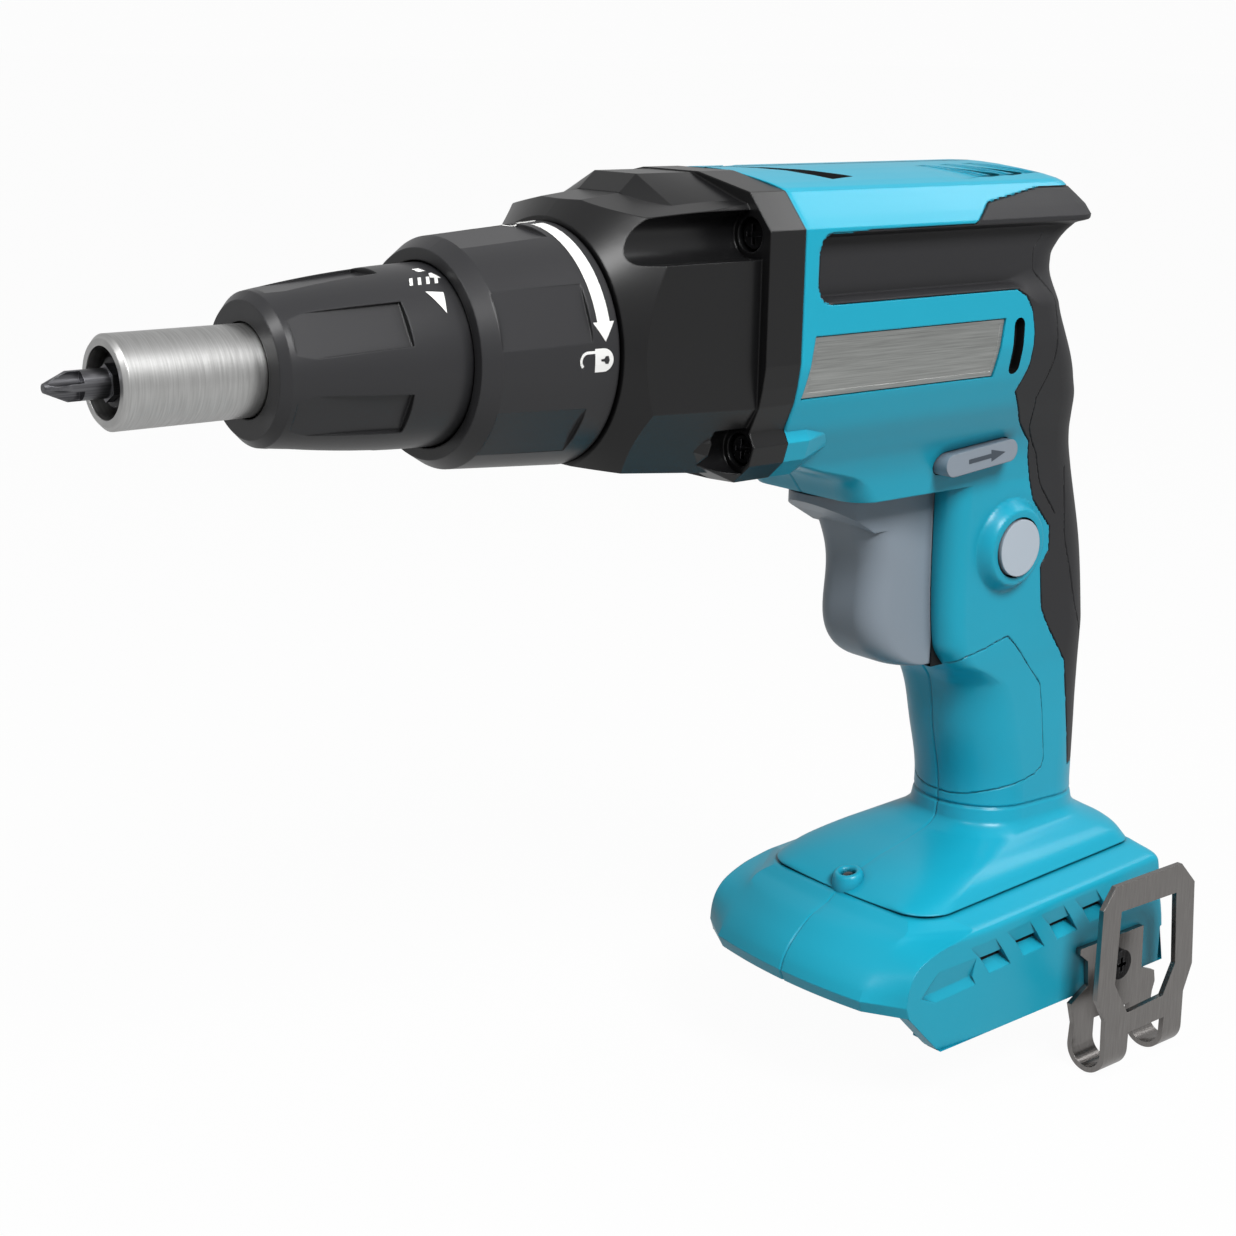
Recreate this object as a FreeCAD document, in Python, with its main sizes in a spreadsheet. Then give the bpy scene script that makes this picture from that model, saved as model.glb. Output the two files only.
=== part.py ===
import FreeCAD, Part
import math
import os
import types
import Sketcher

# Cordless drywall screwdriver. X runs from the nose to the rear, Z is up, the left side is -Y.
# The origin is the centre of the depth locator's front face, on the drive axis.

doc = FreeCAD.newDocument("drywall_screwdriver")
sheet = doc.addObject("Spreadsheet::Sheet", "Sizes")

sizes = {
    # clearances
    "running_gap": 0.05, "free_gap": 0.4, "seat_gap": 0.1, "part_gap": 0.1,
    # depth locator tip and bit
    "tip_length": 50.0, "tip_radius": 9.2, "tip_bore": 7.0, "tip_edge": 0.9,
    "key_width": 3.0, "key_front": 39.0, "key_length": 7.0, "key_depth": 1.1, "key_slot_front": 34.0,
    "bit_reach": 11.9, "bit_length": 25.0, "bit_across_flats": 6.35, "bit_neck_radius": 2.9,
    "bit_point_radius": 0.9, "bit_cone_length": 4.6, "flute_length": 7.0, "flute_radius": 1.45,
    "flute_offset": 2.6, "shank_front": 0.5,
    # bit holder and spindle
    "holder_front": 2.0, "holder_radius": 5.6, "holder_length": 42.0, "holder_shank": 18.0,
    "magnet_radius": 2.6, "magnet_length": 4.0,
    "spindle_front": 45.0, "spindle_nose_radius": 6.5, "journal_front": 85.0, "journal_radius": 6.0,
    "journal_rear": 117.5, "spindle_socket": 18.0, "pilot_radius": 2.6, "pilot_depth": 9.0,
    "bush_front": 92.0, "bush_rear": 111.0, "bush_radius": 9.0,
    "washer_rear": 113.6, "washer_thick": 1.6, "washer_radius": 9.5,
    "clutch_radius": 12.0, "clutch_web": 4.0, "dog_inner": 6.4, "dog_outer": 9.1,
    "dog_height": 2.0,
    "dog_angle": 34.0, "dog_count": 3, "push_travel": 2.7, "dog_gap": 3.0,
    "spring_radius": 4.9, "spring_wire": 1.0, "spring_turns": 3,
    # depth collar, nose tube and lock ring
    "collar_front": 29.9, "collar_face_radius": 13.7, "collar_edge_radius": 15.4, "collar_edge": 1.8,
    "collar_crown": 0.75, "collar_radius": 19.0, "collar_rear": 83.6, "collar_lip": 6.0,
    "grip_flat_width": 9.5, "collar_flat_front": 33.0, "collar_flat_rear": 58.0,
    "collar_flat_low": 15.2, "collar_flat_high": 17.1, "flat_count": 6,
    "tube_front": 37.0, "tube_radius": 12.2, "tube_flange": 84.0, "tube_flange_thick": 4.0,
    "tube_skirt_radius": 22.4, "tube_socket_radius": 19.6, "tube_rear": 103.0,
    "snap_width": 1.2, "snap_height": 0.9,
    "ring_front": 71.4, "ring_face_radius": 21.9, "ring_edge_radius": 24.2, "ring_edge": 3.7,
    "ring_rear": 103.5, "ring_rear_radius": 26.2, "ring_flat_width": 12.5, "ring_flat_rear": 97.0,
    "ring_flat_low": 23.4, "ring_flat_high": 24.9, "ring_flat_turn": 8.0, "ring_lip": 4.0,
    # gear case
    "case_front": 104.0, "case_front_radius": 27.2, "case_rear": 149.4, "case_flare_x": 112.6,
    "case_flare_radius": 36.2, "case_flare_end": 46.0, "case_side": 30.5,
    "case_top_front": 30.4, "case_top_rear": 35.6, "case_bottom_front": 25.4, "case_bottom_rear": 30.0,
    "case_step_front": 118.6, "case_step_rear": 123.1, "case_step_top": 36.0, "case_step_half": 7.0,
    "case_spigot_front": 91.0, "case_spigot_rear": 109.0, "case_wall_x": 112.0, "case_bore": 22.5,
    "case_bore_height": 4.0, "flange_thick": 10.4, "flange_top": 36.3, "lug_front": 127.0,
    "case_screw_y": 26.6, "case_screw_z": 23.9, "case_screw_low_y": 25.4, "case_screw_low_z": 23.0,
    "case_screw_radius": 2.0, "case_screw_head": 3.1, "case_screw_head_height": 3.2,
    "case_screw_length": 10.6, "screw_seat_thick": 6.2, "screw_channel_radius": 5.2,
    "screw_pocket_radius": 3.8, "screw_channel_low_front": 130.0,
    "cross_width": 1.1, "cross_length": 4.4, "cross_depth": 1.4,
    # reduction gear
    "gear_module": 0.75, "pinion_teeth": 8, "gear_teeth": 28, "profile_shift": 0.4, "addendum": 0.9,
    "backlash": 0.06, "gear_width": 9.5, "gear_stub_radius": 3.0,
    "plate_front": 138.5, "plate_thick": 8.5, "bearing_radius": 6.4, "bearing_width": 6.0,
    "plate_recess": 1.2,
    # motor
    "shaft_radius": 2.5, "shaft_tip_radius": 1.5, "shaft_rear": 220.5,
    "fan_front": 152.0, "fan_width": 9.0, "fan_radius": 17.5, "fan_hub": 6.5, "fan_blades": 11,
    "stator_front": 170.0, "stator_length": 28.0, "stator_radius": 18.5, "stator_bore": 10.0,
    "stator_back": 3.2, "stator_teeth": 6, "tooth_width": 4.0, "air_gap": 0.5, "coil_overhang": 5.0,
    "coil_depth": 2.0, "sensor_thick": 1.6, "rear_bearing_front": 213.0,
    # housing: barrel
    "wall": 3.0, "rubber_thick": 1.6, "barrel_front": 149.5, "barrel_half": 33.0, "barrel_shoulder": 25.0,
    "barrel_top": 36.5, "tail_rear": 251.6, "recess_low": 8.4, "recess_high": 24.0, "recess_front": 154.3,
    "recess_depth": 4.2, "waist_rear": 243.8, "rib_thick": 2.0,
    # housing: neck and handle
    "chin_front": 184.0, "chin_drop": -42.0, "switch_front": 220.0, "neck_half": 19.4, "neck_rear": 271.3,
    "grip_half": 17.0, "grip_low": -131.0, "grip_low_front": 240.6, "grip_low_rear": 285.8,
    "lug_length": 23.0, "lug_radius": 5.0, "lug_core_length": 10.0,
    # foot
    "deck_height": -151.0, "deck_half": 30.0, "foot_front": 183.2, "foot_rear": 295.5, "foot_half": 38.0,
    "band_top": -167.2, "band_low": -171.2, "cheek_low": -182.6, "cheek_front": 204.0, "cheek_thick": 4.5,
    "rail_inner": 28.5, "rail_height": 4.0, "vent_count": 4, "vent_first": 222.8, "vent_pitch": 13.2,
    "vent_height": -163.0, "vent_rise": 2.05, "vent_length": 8.0, "vent_tall": 4.6,
    # plates, trigger, button and lever
    "plate_left": 151.4, "plate_right": 217.1, "plate_high": 1.6, "plate_low": -12.2, "plate_slant": 2.2,
    "name_plate_thick": 0.9,
    "trigger_half": 10.8, "trigger_front": 195.4, "trigger_low": -89.5, "trigger_back": 225.0,
    "plunger_radius": 3.0, "plunger_reach": 8.0, "plunger_z": -66.0,
    "trigger_spring_radius": 4.6, "trigger_spring_wire": 0.9, "trigger_spring_turns": 4,
    "spring_pocket": 6.0,
    "switch_x": 232.0, "switch_length": 30.0, "switch_half": 10.0, "switch_top": -50.0, "switch_low": -86.0,
    "button_x": 241.0, "button_z": -59.4, "button_radius": 7.4, "bezel_radius": 12.0, "bezel_face": 21.6,
    "button_face": 22.6, "button_inner": 14.0,
    "lever_x": 221.0, "lever_z": -33.6, "lever_length": 26.0, "lever_tall": 5.6, "lever_reach": 25.2,
    "lever_tilt": 5.0,
    # electrics
    "led_x": 207.8, "led_z": -150.2, "led_radius": 2.3, "led_length": 7.0, "led_bezel_radius": 4.2,
    "led_bezel_proud": 5.4, "led_tilt": 12.0,
    "block_front": 226.0, "block_length": 58.0, "block_half": 16.0, "block_base_top": -160.4,
    "block_base_thick": 2.6, "block_low": -171.6, "base_front": 206.0, "base_rear": 284.5,
    "blade_thick": 0.8, "blade_length": 24.0, "blade_drop": 5.0, "blade_spread": 9.0,
    "board_front": 212.0, "board_length": 68.0, "board_half": 24.0, "board_thick": 5.5,
    # belt clip
    "clip_strip": 1.5, "clip_out": 51.0, "clip_base_top": -168.0, "clip_top": -146.0, "clip_low": -201.0,
    "clip_left": 249.6, "clip_right": 290.4, "clip_screw_x": 271.6, "clip_screw_z": -175.6,
    "clip_screw_radius": 2.0, "clip_screw_head": 4.2, "clip_screw_length": 5.6, "clip_head_height": 2.4,
    # housing screws
    "house_screw_radius": 1.5, "house_screw_head": 2.9, "house_boss_radius": 4.8, "house_screw_length": 16.0,
    "house_head_y": 6.0, "house_head_height": 2.0,
}


class Size:
    """A length that knows its value and the sheet expression that gives it."""

    def __init__(self, value, text):
        self.value = value
        self.text = text

    def __add__(self, other):
        other = as_size(other)
        return Size(self.value + other.value, f"({self.text} + {other.text})")

    def __sub__(self, other):
        other = as_size(other)
        return Size(self.value - other.value, f"({self.text} - {other.text})")

    def __mul__(self, other):
        other = as_size(other)
        return Size(self.value * other.value, f"({self.text} * {other.text})")

    def __truediv__(self, other):
        other = as_size(other)
        return Size(self.value / other.value, f"({self.text} / {other.text})")

    def __neg__(self):
        return Size(-self.value, f"(0 - {self.text})")

    __radd__ = __add__
    __rmul__ = __mul__

    def __rsub__(self, other):
        return as_size(other) - self


def as_size(number):
    return number if isinstance(number, Size) else Size(float(number), repr(float(number)))


class Sheet:
    """The driving dimensions, as attributes."""


dim = Sheet()
for row, (alias, number) in enumerate(sizes.items(), start=1):
    sheet.set(f"A{row}", alias)
    sheet.set(f"B{row}", str(number))
    sheet.setAlias(f"B{row}", alias)
    setattr(dim, alias, Size(float(number), f"Sizes.{alias}"))
doc.recompute()

mm = types.SimpleNamespace(**sizes)
nodes = []


def vector(x, y, z):
    return FreeCAD.Vector(x, y, z)


# Sketches, pads and turned bodies

def plane_of(body, role):
    return [feature for feature in body.Origin.OriginFeatures if feature.Role == role][0]


def new_sketch(body, role, name, offset=None):
    sketch = body.newObject("Sketcher::SketchObject", name)
    sketch.AttachmentSupport = [(plane_of(body, role), "")]
    sketch.MapMode = "FlatFace"
    if offset is not None:
        sketch.setExpression("AttachmentOffset.Base.z", as_size(offset).text)
    return sketch


def arc_between(start, end, radius):
    """Arc from start to end: a positive radius turns left, a negative one right."""
    chord = end - start
    rise = math.sqrt(max(radius * radius - chord.Length ** 2 / 4, 0.0))
    left = vector(-chord.y, chord.x, 0).normalize()
    centre = (start + end) * 0.5 + left * math.copysign(rise, radius)
    first, last = (start, end) if radius > 0 else (end, start)
    begin = math.atan2(first.y - centre.y, first.x - centre.x)
    finish = math.atan2(last.y - centre.y, last.x - centre.x)
    if finish <= begin:
        finish += 2 * math.pi
    circle = Part.Circle(centre, vector(0, 0, 1), abs(radius))
    return Part.ArcOfCircle(circle, begin, finish), 1 if radius > 0 else 2


def draw(sketch, corners):
    """Closed outline through corners, each (x, y) or (x, y, arc radius to the next one)."""
    corners = [tuple(as_size(part) for part in corner) for corner in corners]
    first = sketch.GeometryCount
    starts = []
    for index, corner in enumerate(corners):
        after = corners[(index + 1) % len(corners)]
        start = vector(corner[0].value, corner[1].value, 0)
        end = vector(after[0].value, after[1].value, 0)
        edge, position = Part.LineSegment(start, end), 1
        if len(corner) == 3:
            edge, position = arc_between(start, end, corner[2].value)
        sketch.addGeometry(edge, False)
        starts.append(position)
    for index, corner in enumerate(corners):
        here, before = first + index, first + (index - 1) % len(corners)
        sketch.addConstraint(Sketcher.Constraint("Coincident", before, 3 - starts[index - 1], here,
                                                 starts[index]))
        for kind, place in zip(("DistanceX", "DistanceY"), corner):
            bind(sketch, Sketcher.Constraint(kind, -1, 1, here, starts[index], place.value), place)
        if len(corner) == 3:
            radius = corner[2] if corner[2].value > 0 else -corner[2]
            bind(sketch, Sketcher.Constraint("Radius", here, radius.value), radius)


def draw_circle(sketch, x, y, radius):
    x, y, radius = as_size(x), as_size(y), as_size(radius)
    circle = Part.Circle(vector(x.value, y.value, 0), vector(0, 0, 1), radius.value)
    index = sketch.addGeometry(circle, False)
    bind(sketch, Sketcher.Constraint("DistanceX", -1, 1, index, 3, x.value), x)
    bind(sketch, Sketcher.Constraint("DistanceY", -1, 1, index, 3, y.value), y)
    bind(sketch, Sketcher.Constraint("Radius", index, radius.value), radius)


def bind(sketch, constraint, place):
    index = sketch.addConstraint(constraint)
    if "Sizes" in place.text:
        sketch.setExpression(f"Constraints[{index}]", place.text)


def new_body(label):
    body = doc.addObject("PartDesign::Body", label)
    body.Label = label
    return body


def turn(body, corners):
    """Turned piece about the X axis from a profile of (x, radius) corners."""
    sketch = new_sketch(body, "XZ_Plane", body.Label + "_profile")
    draw(sketch, corners)
    feature = body.newObject("PartDesign::Revolution", body.Label + "_turned")
    feature.Profile = sketch
    feature.ReferenceAxis = (sketch, ["H_Axis"])
    feature.Angle = 360
    return body


def turned(label, corners, height=None):
    body = turn(new_body(label), corners)
    if height is not None:
        body.setExpression("Placement.Base.z", height.text)
    return body


def ring(label, front, rear, inner, outer, height=None):
    return turned(label, [(front, inner), (rear, inner), (rear, outer), (front, outer)], height)


def pad(body, role, outlines, start, length, kind="PartDesign::Pad", circles=()):
    """Pad or pocket of outlines on one origin plane, from start along the plane's normal."""
    sketch = new_sketch(body, role, body.Label + "_outline", start)
    for corners in outlines:
        draw(sketch, corners)
    for circle in circles:
        draw_circle(sketch, *circle)
    feature = body.newObject(kind, body.Label + "_" + kind.split("::")[1].lower())
    feature.Profile = sketch
    feature.setExpression("Length", as_size(length).text)
    return feature


def padded(label, role, outline, start, length, circles=()):
    body = new_body(label)
    pad(body, role, [outline], start, length, circles=circles)
    return body


def box_outline(low_x, low_y, high_x, high_y):
    return [(low_x, low_y), (high_x, low_y), (high_x, high_y), (low_x, high_y)]


def polar(body, feature, count):
    pattern = body.newObject("PartDesign::PolarPattern", body.Label + "_pattern")
    pattern.Originals = [feature]
    pattern.Axis = (plane_of(body, "X_Axis"), [""])
    pattern.Angle = 360
    pattern.setExpression("Occurrences", count.text)
    body.Tip = pattern
    return pattern


# Booleans and plain shapes

def feature(label, shape):
    item = doc.addObject("Part::Feature", label)
    item.Label = label
    item.Shape = shape
    return item


def boolean(kind, label, base, tools):
    item = doc.addObject(kind, label)
    item.Label = label
    if kind == "Part::Cut":
        item.Base = base
        item.Tool = tools
    else:
        item.Shapes = [base, *tools]
    return item


def keep(item):
    nodes.append(item)
    return item


def box(low, high):
    low, high = vector(*low), vector(*high)
    size = high - low
    return Part.makeBox(size.x, size.y, size.z, low)


def rod(start, end, radius):
    start, end = vector(*start), vector(*end)
    return Part.makeCylinder(radius, (end - start).Length, start, end - start)


def prism(points, axis, low, high):
    """Straight prism of a polygon: points are (x, z) for axis y, (y, z) for axis x, (x, y) for axis z."""
    place = {"x": lambda a, b: (low, a, b), "y": lambda a, b: (a, low, b),
             "z": lambda a, b: (a, b, low)}[axis]
    along = {"x": (high - low, 0, 0), "y": (0, high - low, 0), "z": (0, 0, high - low)}[axis]
    corners = [vector(*place(*point)) for point in points]
    return Part.Face(Part.makePolygon(corners + corners[:1])).extrude(vector(*along))


def mirrored(shape):
    return shape.mirror(vector(0, 0, 0), vector(0, 1, 0))


def joined(shapes):
    return shapes[0].multiFuse(shapes[1:]).removeSplitter()


# Nose: depth locator tip, collar, tube and lock ring

def hexagon(across_flats):
    """Corners of a hexagon about the axis, two corners up and down."""
    reach = across_flats / math.sqrt(3)
    half = across_flats / 2
    return [(half, reach / 2), (0, reach), (-half, reach / 2), (-half, -reach / 2), (0, -reach),
            (half, -reach / 2)]


def make_locator_tip():
    body = turned("locator_tip", [
        (0, dim.tip_bore), (0, dim.tip_radius - dim.tip_edge), (dim.tip_edge, dim.tip_radius),
        (dim.tip_length, dim.tip_radius), (dim.tip_length, dim.tip_bore)])
    half = dim.key_width / 2 + dim.free_gap / 2
    floor = dim.tip_radius - dim.key_depth - dim.free_gap / 2
    outline = box_outline(dim.key_slot_front, -half, dim.tip_length + dim.key_width, half)
    slot = pad(body, "XY_Plane", [outline], floor, dim.key_depth * 4, "PartDesign::Pocket")
    slot.Reversed = True
    return keep(body)


def make_grip_flats(body, front, rear, low, high, width):
    """Flat finger recesses around a turned grip, each ending in a step at its rear."""
    outline = [(front, low), (rear, high), (rear, high * 2), (front, high * 2)]
    flat = pad(body, "XZ_Plane", [outline], 0, width, "PartDesign::Pocket")
    flat.Midplane = True
    polar(body, flat, dim.flat_count)


def crown_radius(low, high, sag):
    """Radius of the arc that swells a slope by sag at its middle."""
    run = math.hypot(high[0].value - low[0].value, high[1].value - low[1].value)
    return run * run / (8 * sag.value) + sag.value / 2


def make_depth_collar():
    edge = (dim.collar_front + dim.collar_edge, dim.collar_edge_radius)
    widest = (dim.ring_front, dim.collar_radius)
    bore = dim.tube_radius + dim.free_gap
    pocket = dim.tube_radius + dim.snap_height + dim.free_gap
    lip = dim.collar_front + dim.collar_lip
    snap_rear = dim.tube_front + dim.snap_width * 2 + dim.free_gap
    body = turned("depth_collar", [
        (dim.collar_front, dim.tip_radius + dim.free_gap), (dim.collar_front, dim.collar_face_radius),
        (*edge, -crown_radius(edge, widest, dim.collar_crown)), widest, (dim.collar_rear, dim.collar_radius),
        (dim.collar_rear, bore), (snap_rear, bore), (snap_rear, pocket), (lip, pocket),
        (lip, dim.tip_radius + dim.free_gap)])
    make_grip_flats(body, dim.collar_flat_front, dim.collar_flat_rear, dim.collar_flat_low,
                    dim.collar_flat_high,
                    dim.grip_flat_width)
    return keep(body)


def make_nose_tube():
    bore = dim.tip_radius + dim.free_gap
    web = dim.tube_flange + dim.tube_flange_thick
    groove = dim.tube_front + dim.snap_width
    body = turned("nose_tube", [
        (dim.tube_front, bore), (dim.tube_front, dim.tube_radius), (groove, dim.tube_radius),
        (groove, dim.tube_radius - dim.snap_height),
        (groove + dim.snap_width, dim.tube_radius - dim.snap_height),
        (groove + dim.snap_width, dim.tube_radius), (dim.tube_flange, dim.tube_radius),
        (dim.tube_flange, dim.tube_skirt_radius), (dim.tube_rear, dim.tube_skirt_radius),
        (dim.tube_rear, dim.tube_socket_radius), (web, dim.tube_socket_radius), (web, bore)])
    half = dim.key_width / 2
    outline = box_outline(dim.key_front, -half, dim.key_front + dim.key_length, half)
    pad(body, "XY_Plane", [outline], dim.tip_radius - dim.key_depth, dim.key_depth + dim.free_gap * 2)
    return keep(body)


def make_lock_ring():
    lip_rear = dim.ring_front + dim.ring_lip
    lip_bore = dim.collar_radius + dim.free_gap
    bore = dim.tube_skirt_radius + dim.free_gap
    body = turned("lock_ring", [
        (dim.ring_front, lip_bore), (dim.ring_front, dim.ring_face_radius),
        (dim.ring_front + dim.ring_edge, dim.ring_edge_radius), (dim.ring_rear, dim.ring_rear_radius),
        (dim.ring_rear, bore), (lip_rear, bore), (lip_rear, lip_bore)])
    make_grip_flats(body, dim.ring_front + dim.ring_edge, dim.ring_flat_rear, dim.ring_flat_low,
                    dim.ring_flat_high,
                    dim.ring_flat_width)
    body.Placement.Rotation = FreeCAD.Rotation(vector(1, 0, 0), mm.ring_flat_turn)
    return keep(body)


def make_snap_ring():
    front = dim.tube_front + dim.snap_width
    return keep(ring("collar_snap_ring", front, front + dim.snap_width, dim.tube_radius - dim.snap_height,
                     dim.tube_radius + dim.snap_height))


# Bit, bit holder, spindle and clutch

def make_driver_bit():
    front = -dim.bit_reach
    body = turned("driver_bit_core", [
        (front, 0), (front, dim.bit_point_radius), (front + dim.bit_cone_length, dim.bit_neck_radius),
        (dim.shank_front, dim.bit_neck_radius), (dim.shank_front, 0)])
    pad(body, "YZ_Plane", [hexagon(dim.bit_across_flats)], dim.shank_front,
        dim.bit_length - dim.bit_reach - dim.shank_front)
    side = mm.flute_offset * math.sqrt(0.5)
    flutes = [rod((-mm.bit_reach - 1, y, z), (-mm.bit_reach + mm.flute_length, y, z), mm.flute_radius)
              for y in (-side, side) for z in (-side, side)]
    return keep(boolean("Part::Cut", "driver_bit", body, feature("bit_flutes", Part.makeCompound(flutes))))


def make_bit_holder():
    rear = dim.holder_front + dim.holder_length
    bit_rear = dim.bit_length - dim.bit_reach
    bore = dim.magnet_radius + dim.running_gap
    magnet_rear = bit_rear + dim.magnet_length + dim.running_gap
    body = turned("bit_holder", [
        (dim.holder_front, bore), (dim.holder_front, dim.holder_radius - dim.tip_edge),
        (dim.holder_front + dim.tip_edge, dim.holder_radius), (rear, dim.holder_radius), (rear, 0),
        (magnet_rear, 0), (magnet_rear, bore)])
    pad(body, "YZ_Plane", [hexagon(dim.bit_across_flats)], rear, dim.holder_shank)
    socket = pad(body, "YZ_Plane", [hexagon(dim.bit_across_flats + dim.seat_gap)], dim.holder_front,
                 bit_rear - dim.holder_front, "PartDesign::Pocket")
    socket.Reversed = True
    return keep(body)


def make_bit_magnet():
    front = dim.bit_length - dim.bit_reach
    return keep(turned("bit_magnet", [
        (front, 0), (front, dim.magnet_radius), (front + dim.magnet_length, dim.magnet_radius),
        (front + dim.magnet_length, 0)]))


def make_spindle():
    bore = dim.pilot_radius + dim.running_gap
    pilot_front = dim.journal_rear - dim.pilot_depth
    body = turned("spindle", [
        (dim.spindle_front, 0), (dim.spindle_front, dim.spindle_nose_radius),
                              (dim.journal_front, dim.spindle_nose_radius),
        (dim.journal_front, dim.journal_radius), (dim.journal_rear, dim.journal_radius),
                              (dim.journal_rear, bore),
        (pilot_front, bore), (pilot_front, 0)])
    socket = pad(body, "YZ_Plane", [hexagon(dim.bit_across_flats + dim.seat_gap)], dim.spindle_front,
                 dim.spindle_socket, "PartDesign::Pocket")
    socket.Reversed = True
    return keep(body)


def sector(front, rear, inner, outer, centre, spread):
    """Block of a ring about the X axis, spread degrees wide about the angle centre."""
    corners = [vector(front, 0, inner), vector(rear, 0, inner), vector(rear, 0, outer),
               vector(front, 0, outer)]
    face = Part.Face(Part.makePolygon(corners + corners[:1]))
    face.rotate(vector(0, 0, 0), vector(1, 0, 0), centre - spread / 2)
    return face.revolve(vector(0, 0, 0), vector(1, 0, 0), spread)


def dogs(front, rear, turn_angle):
    step = 360 / mm.dog_count
    return [sector(front, rear, mm.dog_inner, mm.dog_outer, turn_angle + step * index, mm.dog_angle)
            for index in range(int(mm.dog_count))]


def tube(front, rear, inner, outer, height=0.0):
    return rod((front, 0, height), (rear, 0, height),
               outer).cut(rod((front, 0, height), (rear, 0, height), inner))


def make_clutch():
    keep(ring("spindle_bush", dim.bush_front, dim.bush_rear, dim.journal_radius + dim.running_gap,
              dim.bush_radius))
    keep(ring("thrust_washer", dim.washer_rear - dim.washer_thick, dim.washer_rear,
              dim.journal_radius + dim.running_gap, dim.washer_radius))
    web_rear = mm.washer_rear + mm.clutch_web
    plate = tube(mm.washer_rear, web_rear, mm.journal_radius, mm.clutch_radius)
    keep(feature("clutch_plate", joined([plate, *dogs(web_rear, web_rear + mm.dog_height, 0)])))


def gear_front():
    return mm.washer_rear + mm.clutch_web + mm.dog_height * 2 + mm.dog_gap


def coil(start, axis_height, radius, wire, length, turns):
    """Wire spring about the X axis, from start to start + length, with its least gap printed."""
    rise = (length - wire) / turns
    helix = Part.makeHelix(rise, rise * turns, radius)
    helix.rotate(vector(0, 0, 0), vector(0, 1, 0), 90)
    helix.translate(vector(start + wire / 2, 0, axis_height))
    first = helix.Edges[0]
    direction = first.tangentAt(first.FirstParameter)
    section = Part.Wire(Part.makeCircle(wire / 2, first.valueAt(first.FirstParameter), direction))
    print("spring gap", round(rise - wire, 3), "mm")
    return Part.Wire(helix.Edges).makePipeShell([section], True, True)


def make_clutch_spring():
    start = mm.washer_rear + mm.clutch_web + mm.seat_gap
    length = gear_front() - start - mm.seat_gap
    keep(feature("clutch_spring", coil(start, 0.0, mm.spring_radius, mm.spring_wire, length,
                                       mm.spring_turns)))


# Reduction gear

def involute(angle):
    return math.tan(angle) - angle


def gear_face(teeth, shift, phase, height):
    """Spur gear face on the YZ plane, a tooth centred on the phase angle from +Z."""
    pressure = math.radians(20)
    pitch = mm.gear_module * teeth / 2
    base = pitch * math.cos(pressure)
    outer = pitch + mm.gear_module * (mm.addendum + shift)
    root = pitch - mm.gear_module * (1.25 - shift)
    thick = mm.gear_module * (math.pi / 2 + 2 * shift * math.tan(pressure)) - mm.backlash
    steps = 6

    def at(radius, angle):
        return vector(0, radius * math.sin(angle), height + radius * math.cos(angle))

    def half_angle(radius):
        return thick / (2 * pitch) + involute(pressure) - involute(math.acos(base / radius))

    edges = []
    foot = max(base * 1.0005, root)
    radii = [foot + (outer - foot) * index / (steps - 1) for index in range(steps)]
    for tooth in range(int(teeth)):
        middle = phase + 2 * math.pi * tooth / teeth
        after = middle + 2 * math.pi / teeth
        rising = [at(radius, middle - half_angle(radius)) for radius in radii]
        falling = [at(radius, middle + half_angle(radius)) for radius in reversed(radii)]
        root_in, root_out = at(root, middle - half_angle(foot)), at(root, middle + half_angle(foot))
        root_next = at(root, after - half_angle(foot))
        for points in (rising, falling):
            spline = Part.BSplineCurve()
            spline.interpolate(points)
            edges.append(spline.toShape())
        edges.append(Part.Arc(rising[-1], at(outer, middle), falling[0]).toShape())
        edges.append(Part.makeLine(root_in, rising[0]))
        edges.append(Part.makeLine(falling[-1], root_out))
        edges.append(Part.Arc(root_out, at(root, (middle + after) / 2), root_next).toShape())
    return Part.Face(Part.Wire(Part.__sortEdges__(edges)))


def motor_line():
    """Height of the motor's axis over the drive axis."""
    return dim.gear_module * (dim.pinion_teeth + dim.gear_teeth) / 2


def motor_height():
    return motor_line().value


def make_gears():
    front = gear_front()
    rear = front + mm.gear_width
    blank = gear_face(mm.gear_teeth, -mm.profile_shift, math.pi / mm.gear_teeth, 0.0)
    blank.translate(vector(front, 0, 0))
    pilot = rod((mm.journal_rear - mm.pilot_depth + mm.push_travel + mm.free_gap, 0, 0), (front, 0, 0),
                mm.pilot_radius)
    stub = rod((rear, 0, 0), (mm.plate_front + mm.plate_thick, 0, 0), mm.gear_stub_radius)
    teeth = blank.extrude(vector(mm.gear_width, 0, 0))
    half_step = 180 / mm.dog_count
    keep(feature("drive_gear", joined([teeth, pilot, stub, *dogs(front - mm.dog_height, front, half_step)])))
    pinion = gear_face(mm.pinion_teeth, mm.profile_shift, math.pi, motor_height())
    pinion.translate(vector(front - mm.free_gap, 0, 0))
    solid = pinion.extrude(vector(mm.gear_width + 2 * mm.free_gap, 0, 0))
    bore = rod((front - 5, 0, motor_height()), (rear + 5, 0, motor_height()), mm.shaft_tip_radius)
    keep(feature("motor_pinion", solid.cut(bore)))


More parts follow.
